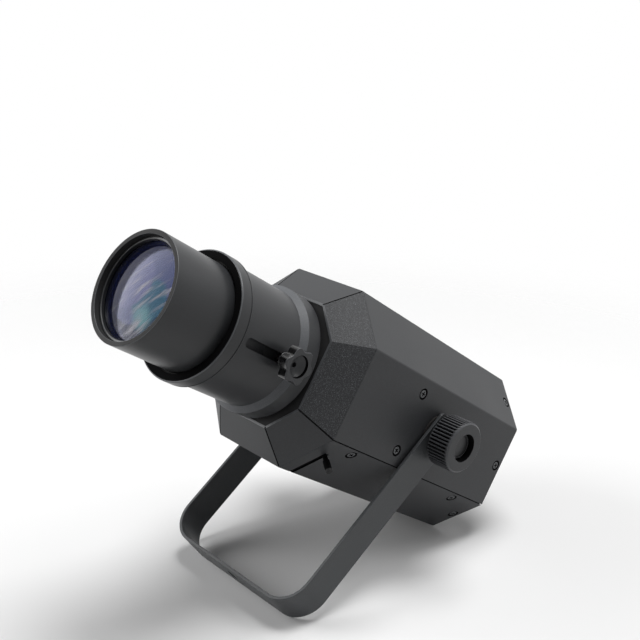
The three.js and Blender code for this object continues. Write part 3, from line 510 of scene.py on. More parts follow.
def drum(radius: float, start: float, end: float, axis: Axis, centre: Pair, sides: int = ROUND) -> Form:
    """Plain cylinder, for cutting and joining.

    Args:
        radius: its radius.
        start: where it starts along the axis.
        end: where it ends.
        axis: its direction.
        centre: its place across the axis.
        sides: how many sides it has.

    Returns:
        The closed form.
    """
    return Form.prism(circle(radius, sides, centre), axis, start, end)


def slab(low: Sequence[float], high: Sequence[float]) -> Form:
    """Rectangular block from its lowest and highest corners."""
    return Form.prism(rectangle((low[0], low[2]), (high[0], high[2])), Axis.Y, low[1], high[1])


# Shader node trees


def add_node(
    tree: Tree, kind: str, links: Mapping[object, object] | None = None, **settings: object
) -> Node:
    """Adds one node with its settings and links.

    Args:
        tree: the tree to add it to.
        kind: the node's type.
        links: for each input, by name or number, its value or the socket or node that feeds it.
            A node feeds it from its first output.
        settings: the node's own properties.

    Returns:
        The node.
    """
    node = tree.nodes.new(kind)
    for key, value in settings.items():
        setattr(node, key, value)
    for key, value in (links or {}).items():
        if isinstance(value, Node):
            value = value.outputs[0]
        if isinstance(value, Socket):
            tree.links.new(value, node.inputs[key])
        else:
            node.inputs[key].default_value = value
    return node


class Generator:
    """A Geometry Nodes tree with named inputs, run on one mesh or curve."""

    def __init__(self, name: str, inputs: Mapping[str, str]) -> None:
        """Starts a tree.

        Args:
            name: what the tree makes.
            inputs: name and socket type of each input after the geometry.
        """
        self.tree = bpy.data.node_groups.new(name, "GeometryNodeTree")
        face = self.tree.interface
        face.new_socket("Geometry", in_out="INPUT", socket_type="NodeSocketGeometry")
        for key, kind in inputs.items():
            face.new_socket(key, in_out="INPUT", socket_type=kind)
        face.new_socket("Geometry", in_out="OUTPUT", socket_type="NodeSocketGeometry")
        self.given = self.add("NodeGroupInput").outputs

    def add(self, kind: str, links: Mapping[object, object] | None = None, **settings: object) -> Node:
        """Adds one node to the tree."""
        return add_node(self.tree, kind, links, **settings)

    def finish(self, geometry: Feed) -> None:
        """Ends the tree: real meshes instead of instances, with their finish.

        Args:
            geometry: the node or socket that the tree ends with.
        """
        real = self.add("GeometryNodeRealizeInstances", {"Geometry": geometry})
        coated = self.add("GeometryNodeSetMaterial", {"Geometry": real, "Material": self.given["Finish"]})
        self.add("NodeGroupOutput", {0: coated})

    def run(self, source: bpy.types.ID, values: Mapping[str, object]) -> Form:
        """Runs the tree.

        Args:
            source: mesh or curve data that goes in.
            values: value of each named input.

        Returns:
            What comes out, as a plain mesh whose faces all have the first finish.
        """
        piece = new_object("working", source)
        modifier = piece.modifiers.new("tree", "NODES")
        modifier.node_group = self.tree
        for item in self.tree.interface.items_tree:
            if item.in_out == "INPUT" and item.name in values:
                modifier[item.identifier] = values[item.name]
        made = Form(evaluated(piece))
        bpy.data.objects.remove(piece)
        return made.painted(0, lambda spot, normal: True)


class RingOfCopies(Generator):
    """Copies of one form, evenly round the Y axis."""

    def __init__(self) -> None:
        """Builds the tree."""
        super().__init__("ring_of_copies", {"Count": "NodeSocketInt", "Finish": "NodeSocketMaterial"})
        step = self.add("ShaderNodeMath", {0: math.tau, 1: self.given["Count"]}, operation="DIVIDE")
        index = self.add("GeometryNodeInputIndex")
        angle = self.add("ShaderNodeMath", {0: step, 1: index}, operation="MULTIPLY")
        turn = self.add("ShaderNodeCombineXYZ", {"Y": angle})
        line = self.add("GeometryNodeMeshLine", {"Count": self.given["Count"], "Offset": (0.0, 0.0, 0.0)})
        copies = self.add("GeometryNodeInstanceOnPoints", {
            "Points": line, "Instance": self.given["Geometry"], "Rotation": turn})
        self.finish(copies)


class RowOfCopies(Generator):
    """Copies of one form in a straight row."""

    def __init__(self) -> None:
        """Builds the tree."""
        super().__init__("row_of_copies", {
            "Count": "NodeSocketInt", "Step": "NodeSocketVector", "Finish": "NodeSocketMaterial"})
        line = self.add(
            "GeometryNodeMeshLine", {"Count": self.given["Count"], "Offset": self.given["Step"]})
        copies = self.add(
            "GeometryNodeInstanceOnPoints", {"Points": line, "Instance": self.given["Geometry"]})
        self.finish(copies)


class ScrewsOnPlaces(Generator):
    """One screw on each point, facing the way its point says and turned by chance."""

    def __init__(self) -> None:
        """Builds the tree."""
        super().__init__("screws_on_places", {
            "Screw": "NodeSocketObject", "Seed": "NodeSocketInt", "Finish": "NodeSocketMaterial"})
        screw = self.add("GeometryNodeObjectInfo", {"Object": self.given["Screw"]})
        facing = self.add("GeometryNodeInputNamedAttribute", {"Name": "facing"}, data_type="FLOAT_VECTOR")
        chance = self.add(
            "FunctionNodeRandomValue", {2: 0.0, 3: math.tau, "Seed": self.given["Seed"]}, data_type="FLOAT")
        spin = self.add("ShaderNodeCombineXYZ", {"Y": chance.outputs[1]})
        spun = self.add("FunctionNodeEulerToRotation", {0: spin})
        aimed = self.add("FunctionNodeAlignRotationToVector", {"Vector": facing}, axis="Y")
        turned = self.add("FunctionNodeRotateRotation", {0: aimed, 1: spun}, rotation_space="LOCAL")
        copies = self.add("GeometryNodeInstanceOnPoints", {
            "Points": self.given["Geometry"], "Instance": screw.outputs["Geometry"], "Rotation": turned})
        self.finish(copies)


class BentBar(Generator):
    """Flat bar swept along a path whose corners are bent to a radius."""

    def __init__(self) -> None:
        """Builds the tree."""
        super().__init__("bent_bar", {
            "Bend radius": "NodeSocketFloat", "Bend steps": "NodeSocketInt", "Width": "NodeSocketFloat",
            "Thickness": "NodeSocketFloat", "Edge radius": "NodeSocketFloat",
            "Finish": "NodeSocketMaterial"})
        bent = self.add("GeometryNodeFilletCurve", {
            "Curve": self.given["Geometry"], "Radius": self.given["Bend radius"],
            "Count": self.given["Bend steps"]}, mode="POLY")
        level = self.add(
            "GeometryNodeSetCurveNormal", {"Curve": bent, "Normal": (0.0, 1.0, 0.0)}, mode="FREE")
        section = self.add("GeometryNodeCurvePrimitiveQuadrilateral", {
            "Width": self.given["Width"], "Height": self.given["Thickness"]}, mode="RECTANGLE")
        eased = self.add("GeometryNodeFilletCurve", {
            "Curve": section, "Radius": self.given["Edge radius"], "Count": 3}, mode="POLY")
        bar = self.add(
            "GeometryNodeCurveToMesh", {"Curve": level, "Profile Curve": eased, "Fill Caps": True})
        self.finish(bar)


# Finishes


SLOW_NOISE = (0.3, 0.7)     # slow noise seldom leaves this range
SPECK_NOISE = (0.5, 0.75)   # fine noise above the first shows specks, above the second only them
BRUSHED_STRETCH = 0.03      # scale of the fine noise along brushed lines


def linear(shade: str) -> tuple[float, float, float, float]:
    """Linear colour of an sRGB hex value.

    Args:
        shade: the value, such as #808080.

    Returns:
        Red, green, blue and a full alpha.
    """
    parts = [int(shade[i:i + 2], 16) / 255 for i in (1, 3, 5)]
    red, green, blue = (
        part / 12.92 if part <= 0.04045 else ((part + 0.055) / 1.055) ** 2.4 for part in parts)
    return red, green, blue, 1.0


class Surface:
    """What a face is made of. Each kind has a name of its own and shades a node tree its way."""

    name: str

    def material(self) -> bpy.types.Material:
        """Builds the material, or takes it where it is built already.

        Returns:
            The material, which has the surface's name.
        """
        known = bpy.data.materials.get(self.name)
        if known:
            return known
        made = bpy.data.materials.new(self.name)
        made.use_nodes = True
        tree = made.node_tree
        tree.nodes.clear()
        spot = add_node(tree, "ShaderNodeTexCoord").outputs["Object"]
        shader = self.shader(tree, spot)
        add_node(tree, "ShaderNodeOutputMaterial", {"Surface": shader})
        return made

    def shader(self, tree: Tree, spot: Feed) -> Node:
        """Adds the nodes that give the surface its look.

        Args:
            tree: the material's tree.
            spot: the place on the object.

        Returns:
            The last of them, a shader.
        """
        raise NotImplementedError


class Grain(Enum):
    """How the fine relief of a surface runs."""

    EVEN = 1        # powder coat or moulded plastic
    TURNED = 2      # lathe lines round the optical axis
    BRUSHED = 3     # straight lines along X


@dataclass(frozen=True)
class Finish(Surface):
    """A surface finish with fine relief and slow changes of shade.

    Args:
        name: common name of the material and how its surface was made.
        shade: sRGB hex colour.
        accent: sRGB hex colour of its specks.
        roughness: middle roughness.
        spread: how far the roughness strays.
        metallic: share of bare metal.
        grain_mm: size of the fine relief.
        relief: strength of the fine relief.
        specks: share of the accent in the fine grain.
        patch_mm: size of the slow changes.
        coat: weight of a clear gloss over it.
        ior: index of refraction. A rough surface gives back less than its resin's 1.5.
        runs: how the fine relief runs.
        drift: how far its shade strays over the slow changes.
    """

    name: str
    shade: str
    accent: str
    roughness: float
    spread: float = 0.06
    metallic: float = 0.0
    grain_mm: float = 0.8
    relief: float = 0.15
    specks: float = 0.25
    patch_mm: float = 60.0
    coat: float = 0.0
    ior: float = 1.38
    runs: Grain = Grain.EVEN
    drift: float = 0.08

    def grained(self, tree: Tree, spot: Feed) -> Feed:
        """Turns places to the grain's direction.

        Args:
            tree: the material's tree.
            spot: the place on the object.

        Returns:
            The place in the grain's own directions.
        """
        if self.runs is Grain.EVEN:
            return spot
        turned = add_node(
            tree, "ShaderNodeMapping", {"Vector": spot, "Rotation": (-STANCE.pitch, 0.0, 0.0)})
        if self.runs is Grain.BRUSHED:
            return add_node(
                tree, "ShaderNodeMapping", {"Vector": turned, "Scale": (BRUSHED_STRETCH, 1.0, 1.0)})
        parts = add_node(tree, "ShaderNodeSeparateXYZ", {0: turned}).outputs
        across = add_node(tree, "ShaderNodeCombineXYZ", {"X": parts["X"], "Y": parts["Z"]})
        radius = add_node(tree, "ShaderNodeVectorMath", {0: across}, operation="LENGTH")
        return add_node(tree, "ShaderNodeCombineXYZ", {"X": parts["Y"], "Y": radius.outputs["Value"]})

    def shader(self, tree: Tree, spot: Feed) -> Node:
        """Adds the nodes of the finish.

        Args:
            tree: the material's tree.
            spot: the place on the object.

        Returns:
            The shader.
        """
        place = self.grained(tree, spot)
        fine = add_node(
            tree, "ShaderNodeTexNoise", {"Vector": place, "Scale": 1 / (self.grain_mm * MM), "Detail": 3.0})
        slow = add_node(
            tree, "ShaderNodeTexNoise", {"Vector": spot, "Scale": 1 / (self.patch_mm * MM), "Detail": 2.0})
        speck = add_node(tree, "ShaderNodeMapRange", {
            "Value": fine, "From Min": SPECK_NOISE[0], "From Max": SPECK_NOISE[1], "To Max": self.specks})
        tint = add_node(tree, "ShaderNodeMix", {
            0: speck, 6: linear(self.shade), 7: linear(self.accent)}, data_type="RGBA")
        drift = add_node(tree, "ShaderNodeMapRange", {
            "Value": slow, "From Min": SLOW_NOISE[0], "From Max": SLOW_NOISE[1], "To Min": 1 - self.drift,
            "To Max": 1 + self.drift})
        colour = add_node(
            tree, "ShaderNodeVectorMath", {0: tint.outputs[2], 1: drift}, operation="MULTIPLY")
        rough = add_node(tree, "ShaderNodeMapRange", {
            "Value": slow, "From Min": SLOW_NOISE[0], "From Max": SLOW_NOISE[1],
            "To Min": self.roughness - self.spread, "To Max": self.roughness + self.spread})
        bump = add_node(tree, "ShaderNodeBump", {
            "Height": fine, "Strength": self.relief, "Distance": self.grain_mm * MM / 2})
        surface = add_node(tree, "ShaderNodeBsdfPrincipled", {
            "Base Color": colour, "Roughness": rough, "Normal": bump, "Metallic": self.metallic,
            "Coat Weight": self.coat})
        if not self.metallic:
            surface.inputs["IOR"].default_value = self.ior
        return surface


@dataclass(frozen=True)
class ReflectionPatch:
    """Round patch of painted reflection colour on a lens, in shares of the lens's radius.

    Args:
        right: its middle, to the right of the lens's.
        up: its middle, above the lens's.
        reach: its radius.
        soft: half the width of its edge.
        shade: sRGB hex colour.
    """

    right: float
    up: float
    reach: float
    soft: float
    shade: str


@dataclass(frozen=True)
class CoatedGlass(Surface):
    """Optical glass under a thin film, its reflections tinted with painted patches and streaks.

    Args:
        name: common name of the glass and how it was made.
        ground: sRGB hex colour of the painted reflection near its edge.
        reflection_patches: painted reflection patches of other colours, the last one on top.
        streak: sRGB hex colour of the painted pale reflection streaks over them.
        haze: sRGB hex colour of the little light that it scatters.
        gloss: what it reflects, where bare glass has a half and a bloomed face nothing.
        radius_mm: radius that the patches are shares of.
        roughness: least and most roughness, from wiping.
        clear: share of the light that goes through.
        ior: index of refraction.
        sway: how far the edges of the patches wave.
        streak_turn: how steeply the streaks rise to the right, in degrees.
        streak_size: length and width of the streaks.
        streak_noise: noise at which a streak starts and is full.
        streak_cover: how much a full streak covers.
    """

    name: str
    ground: str
    reflection_patches: tuple[ReflectionPatch, ...]
    streak: str
    haze: str
    gloss: float
    radius_mm: float = 43.7
    roughness: Pair = (0.08, 0.11)
    clear: float = 0.85
    ior: float = 1.52
    sway: float = 0.12
    streak_turn: float = 52.0
    streak_size: Pair = (0.8, 0.11)
    streak_noise: Pair = (0.5, 0.68)
    streak_cover: float = 0.95

    def shader(self, tree: Tree, spot: Feed) -> Node:
        """Adds the nodes of the glass and its film.

        Args:
            tree: the material's tree.
            spot: the place on the object.

        Returns:
            The shader.
        """
        wipe = add_node(tree, "ShaderNodeTexNoise", {"Vector": spot, "Scale": 35.0, "Detail": 3.0})
        rough = add_node(tree, "ShaderNodeMapRange", {
            "Value": wipe, "From Min": 0.4, "From Max": 0.7, "To Min": self.roughness[0],
            "To Max": self.roughness[1]})
        return add_node(tree, "ShaderNodeBsdfPrincipled", {
            "Base Color": linear(self.haze), "Transmission Weight": self.clear, "IOR": self.ior,
            "Roughness": rough, "Specular IOR Level": self.gloss, "Specular Tint": self.tint(tree, spot)})

    def share(self, tree: Tree, spot: Feed, way: Vector) -> Feed:
        """Place across the lens along one way of the housing, in shares of its radius.

        Args:
            tree: the material's tree.
            spot: the place on the object.
            way: direction across the lens.

        Returns:
            The share, from -1 to 1 on the lens.
        """
        housing = STANCE.places[Frame.HOUSING]
        axis = (housing.to_3x3() @ way).normalized()
        middle = axis.dot(housing.translation)
        reach = self.radius_mm * MM
        far = add_node(tree, "ShaderNodeVectorMath", {0: spot, 1: axis}, operation="DOT_PRODUCT")
        return add_node(tree, "ShaderNodeMapRange", {
            "Value": far.outputs["Value"], "From Min": middle - reach, "From Max": middle + reach,
            "To Min": -1.0, "To Max": 1.0}, clamp=False)

    def tint(self, tree: Tree, spot: Feed) -> Feed:
        """Painted reflection colour in the film's tint: patches with wavy edges, and streaks rising to the right.

        Args:
            tree: the material's tree.
            spot: the place on the object.

        Returns:
            The colour.
        """
        right = self.share(tree, spot, Vector((1.0, 0.0, 0.0)))
        up = self.share(tree, spot, Vector((0.0, 0.0, 1.0)))
        flat = add_node(tree, "ShaderNodeCombineXYZ", {"X": right, "Y": up})
        wave = add_node(
            tree, "ShaderNodeTexNoise", {"Vector": flat, "Scale": 2.2, "Detail": 2.0}).outputs["Color"]
        moved = add_node(
            tree, "ShaderNodeVectorMath", {0: wave, 1: (self.sway, self.sway, 0.0), 2: flat},
            operation="MULTIPLY_ADD")
        colour = linear(self.ground)
        # The wave only pushes right and up, so each patch's middle goes along by half of it
        push = self.sway / 2
        for reflection_patch in self.reflection_patches:
            middle = (reflection_patch.right + push, reflection_patch.up + push, 0.0)
            away = add_node(tree, "ShaderNodeVectorMath", {0: moved, 1: middle}, operation="DISTANCE")
            inside = add_node(tree, "ShaderNodeMapRange", {
                "Value": away.outputs["Value"], "From Min": reflection_patch.reach - reflection_patch.soft,
                "From Max": reflection_patch.reach + reflection_patch.soft, "To Min": 1.0,
                "To Max": 0.0}, interpolation_type="SMOOTHSTEP")
            colour = add_node(
                tree, "ShaderNodeMix", {0: inside, 6: colour, 7: linear(reflection_patch.shade)},
                data_type="RGBA").outputs[2]
        stretched = add_node(tree, "ShaderNodeMapping", {
            "Vector": flat, "Rotation": (0.0, 0.0, math.radians(self.streak_turn)),
            "Scale": (*self.streak_size, 1.0)}, vector_type="TEXTURE")
        veil = add_node(tree, "ShaderNodeTexNoise", {
            "Vector": stretched, "Scale": 1.0, "Detail": 3.0, "Distortion": 0.5})
        streaks = add_node(tree, "ShaderNodeMapRange", {
            "Value": veil, "From Min": self.streak_noise[0], "From Max": self.streak_noise[1],
            "To Max": self.streak_cover})
        return add_node(
            tree, "ShaderNodeMix", {0: streaks, 6: colour, 7: linear(self.streak)},
            data_type="RGBA").outputs[2]


@dataclass(frozen=True)
class Glow(Surface):
    """A face that shines by itself.

    Args:
        name: common name of what shines.
        shade: sRGB hex colour of its light.
        strength: how strongly it shines.
    """

    name: str
    shade: str
    strength: float

    def shader(self, tree: Tree, spot: Feed) -> Node:
        """Adds the nodes of the shining face.

        Args:
            tree: the material's tree.
            spot: the place on the object.

        Returns:
            The shader.
        """
        cells = add_node(tree, "ShaderNodeTexNoise", {"Vector": spot, "Scale": 900.0, "Detail": 1.0})
        level = add_node(tree, "ShaderNodeMapRange", {
            "Value": cells, "To Min": self.strength * 0.8, "To Max": self.strength})
        return add_node(tree, "ShaderNodeBsdfPrincipled", {
            "Base Color": linear("#101418"), "Roughness": 0.3, "Emission Color": linear(self.shade),
            "Emission Strength": level})


# Fine-texture powder coat, sprayed and baked on folded steel sheet: dark grey, half matt, with a
# slight orange peel that breaks its reflections up
COVER_COAT = Finish(
    "powder coat on steel sheet, fine texture, dark grey", "#313234", "#45474a", roughness=0.48,
    spread=0.04, grain_mm=0.9, relief=0.10, specks=0.3, patch_mm=90)
# The same coat on edges and rims: a shade lighter and shinier, partly where it wears thin over an
# edge and partly as a painted highlight
WORN_AND_LIT_EDGE_COAT = Finish(
    "powder coat on steel sheet, thin over an edge", "#55575a", "#6b6d70", roughness=0.36, grain_mm=0.9,
    relief=0.06, specks=0.2)
# Coarse-texture powder coat: its grains stand up as bumps, and paler specks painted in stand for
# the grains that catch the light. The real grain is about half a millimetre and is drawn coarser
# here so that it shows
NOSE_COAT = Finish(
    "powder coat on cast aluminium, coarse texture, dark grey", "#232426", "#616366", roughness=0.6,
    spread=0.05, relief=1.0, specks=1.0, patch_mm=70)
# Near black, with hardly any sheen: dusty joints between sheets, the collar's front face and the
# iris lever's black; and painted shade in hollows that light barely reaches: countersink trenches,
# the slit's walls, the lip behind the seam, cross recesses, the star knob's dish and eye, and the
# clamp knobs' grooves and recesses
NEAR_BLACK_AND_SHADE = Finish("near black, for joints and painted shade in hollows", "#0b0b0c", "#151516", roughness=0.8, relief=0.1, ior=1.1)
# Satin coat on turned aluminium: very fine rings round the axis draw the highlights out
BARREL_COAT = Finish(
    "satin coat on turned aluminium, dark grey", "#2b2c2e", "#3c3e41", roughness=0.38, spread=0.04,
    grain_mm=0.9, relief=0.06, runs=Grain.TURNED)
# The same coat on the cone of the step: rough-turned, so that its sheen spreads wide, and painted
# paler to stand for the light that falls on the cone
PAINTED_LIT_CONE_COAT = Finish(
    "satin coat on rough-turned aluminium, painted paler as lit", "#4e5053", "#66686c", roughness=0.56, spread=0.04, relief=0.2,
    specks=0.5)
# Matt black paint inside the tube and on the front plate, which swallows stray light. It is also
# painted as shade on the sleeve's mouth and slot walls, and on the tube's flat front rim and the
# part that the sleeve covers
MATT_BLACK = Finish("matt black paint on aluminium", "#161617", "#232324", roughness=0.72, relief=0.2)
# Zinc-plated steel ring, turned and passivated: a warm grey
RING_STEEL = Finish(
    "zinc-plated steel, turned", "#6a6863", "#858279", roughness=0.38, metallic=0.9, relief=0.05,
    specks=0.3, runs=Grain.TURNED)
# Oxide-blackened steel of screws and bolts, oiled: dark with soft metallic glints
BLACK_STEEL = Finish(
    "steel, oxide blackened and oiled", "#252628", "#3a3b3e", roughness=0.36, metallic=0.25, grain_mm=0.9,
    relief=0.1, specks=0.3)
# Zinc-plated screw head, barrel-finished: grey metal
SCREW_STEEL = Finish(
    "steel screw, zinc plated", "#4d4f51", "#67696b", roughness=0.44, metallic=0.3, grain_mm=0.9,
    relief=0.10, specks=0.3)
# Gloss-moulded phenolic plastic: near black with sharp highlights
GLOSS_PLASTIC = Finish(
    "phenolic plastic, gloss moulded, black", "#0c0c0d", "#151516", roughness=0.14, spread=0.03,
    grain_mm=2.0, relief=0.03, coat=0.3, ior=1.5)
# Glass-filled nylon from a spark-eroded mould: dark grey, satin, with a faint grain
KNOB_PLASTIC = Finish(
    "glass-filled nylon, moulded, dark grey", "#323335", "#494a4d", roughness=0.44, spread=0.05,
    relief=0.16, specks=0.3)
# The same nylon on edges and ridges, painted lighter as a highlight
HIGHLIGHT_PLASTIC = Finish(
    "glass-filled nylon, painted lighter as a highlight", "#434447", "#57585b", roughness=0.4, relief=0.1)
# Black nylon of sockets and buttons
BLACK_PLASTIC = Finish("nylon, moulded, black", "#111112", "#1f2021", roughness=0.5, relief=0.12)
# Bare aluminium as rolled, pressed or extruded: fine straight lines
BARE_ALUMINIUM = Finish(
    "aluminium, extruded and degreased", "#b9bbbd", "#d2d4d6", roughness=0.36, metallic=1.0, grain_mm=0.9,
    relief=0.08, specks=0.2, runs=Grain.BRUSHED)
# Brass contact pin, gold flashed
CONTACT = Finish("brass, gold flashed", "#c9a75a", "#e0c27c", roughness=0.28, metallic=1.0, relief=0.03)
# Ceramic board of the light engine with its yellow phosphor
PHOSPHOR = Finish(
    "phosphor on a ceramic board", "#d8c46c", "#efe3a4", roughness=0.55, grain_mm=0.9, relief=0.1)
# Glass-fibre circuit board under green solder resist
BOARD_GREEN = Finish(
    "glass-fibre board under solder resist", "#1d5a38", "#2b7a4d", roughness=0.4, grain_mm=1.6, relief=0.08,
    coat=0.2, ior=1.5)
# Vulcanised fibre, punched from sheet: dull, nearly black
FIBRE = Finish("vulcanised fibre, punched", "#171413", "#26211e", roughness=0.8, grain_mm=1.0, relief=0.3)
# Powder coat on the yoke's flat bar: the same family as the housing's, a shade lighter
YOKE_COAT = Finish(
    "powder coat on steel bar, fine texture, grey", "#3d3f41", "#56585b", roughness=0.44, spread=0.04,
    grain_mm=0.9, relief=0.12, specks=0.3, patch_mm=70)
# Crown glass with a magnesium fluoride film, its reflections painted into the film's tint: a large
# lilac patch in a navy one, teal beside it, pale streaks across
LENS_GLASS = CoatedGlass("crown glass, polished, film coated, reflections painted", ground="#2b3865", reflection_patches=(
    ReflectionPatch(0.05, 0.12, 0.76, 0.03, "#7885c6"), ReflectionPatch(0.42, -0.1, 0.4, 0.05, "#3f8fb4"),
    ReflectionPatch(0.42, -0.42, 0.2, 0.12, "#9be3ee"), ReflectionPatch(-0.2, 0.12, 0.52, 0.04, "#8f97dc"),
    ReflectionPatch(-0.12, -1.0, 0.3, 0.03, "#303b80")), streak="#f4f2ff", haze="#20264a", gloss=0.55)
# The same glass where it is bloomed, so that its rear face gives nothing back
BLOOMED_GLASS = CoatedGlass(
    "crown glass, polished, bloomed", ground="#7f89b8", reflection_patches=(), streak="#b5bce0", haze="#20264a",
    gloss=0.0)
# Cast acrylic over a black mask: a deep, even gloss
SCREEN = Finish(
    "acrylic window, black backed", "#050608", "#0b0d10", roughness=0.08, spread=0.02, grain_mm=3.0,
    relief=0.01, coat=0.5, ior=1.5)
# Lit strokes of the display: a pale blue that is brighter in places
DIGITS = Glow("lit digits behind acrylic", "#9fd8ff", 1.6)


# Pieces

BEHAVIOUR = frame["record"]["behaviour"]
BODY_OF = {node: body for body, nodes in BEHAVIOUR["bodies"].items() for node in nodes}


def dress(
    form: Form, name: str, finishes: Sequence[Surface], nodes: Sequence[str],
    place: Frame = Frame.HOUSING,
) -> None:
    """Puts a finished form in the row's frame and ties it to the CAD nodes it stands for.

    Args:
        form: the form.
        name: the piece's name.
        finishes: its finishes, in the order of its faces' numbers.
        nodes: the CAD nodes it stands for. The first gives its body.
        place: the frame it was drawn in.
    """
    form.cleaned().moved(STANCE.places[place])
    numbers = [face.material_index for face in form.mesh.polygons]
    form.mesh.materials.clear()
    for finish in finishes:
        form.mesh.materials.append(finish.material())
    form.mesh.polygons.foreach_set("material_index", numbers)
    form.mesh.shade_smooth()
    form.mesh.set_sharp_from_angle(angle=SMOOTH_ANGLE)
    form.modified("WEIGHTED_NORMAL", keep_sharp=True, weight=100)
    form.mesh.name = name
    piece = new_object(name, form.mesh)
    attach(piece, BODY_OF[nodes[0]])
    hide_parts(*nodes)
    LOG.info("%s: %d faces", name, len(form.mesh.polygons))


def coat_node(node: str, finish: Surface) -> None:
    """Gives a CAD node that is shown as it is its finish.

    Args:
        node: the node's name.
        finish: its finish.
    """
    shown = frame["nodes"][node]
    shown.data.materials.clear()
    shown.data.materials.append(finish.material())


def bar(start: Vector, end: Vector, outward: Vector, width: float, depth: float) -> Form:
    """Straight bar along an edge, for cutting a groove.

    Args:
        start: where the edge starts.
        end: where it ends.
        outward: direction out of the surface.
        width: width of the bar.
        depth: how deep it reaches.

    Returns:
        The bar, which runs past both ends.
    """
    along = (end - start).normalized()
    side = along.cross(outward).normalized()
    turn = Matrix((side, along, side.cross(along))).transposed().to_4x4()
    length = (end - start).length
    block = slab((-width / 2, -OVERRUN, -depth), (width / 2, length + OVERRUN, depth))
    return block.moved(Matrix.Translation(start) @ turn)


def row_of_slots(outline: Sequence[Pair], axis: Axis, ends: Pair, count: int, step: Vector) -> Form:
    """Makes one cutter for a row of equal slots.

    Args:
        outline: outline of the first slot.
        axis: direction that the slots go through the sheet.
        ends: where the cutter starts and ends along it.
        count: how many slots.
        step: way from each slot to the next.

    Returns:
        The cutter.
    """
    slot = Form.prism(outline, axis, *ends)
    values = {"Count": count, "Step": step, "Finish": COVER_COAT.material()}
    return RowOfCopies().run(slot.mesh, values)


TO_RIGHT = Matrix.Rotation(-math.pi / 2, 4, "Z")        # turns Y towards X


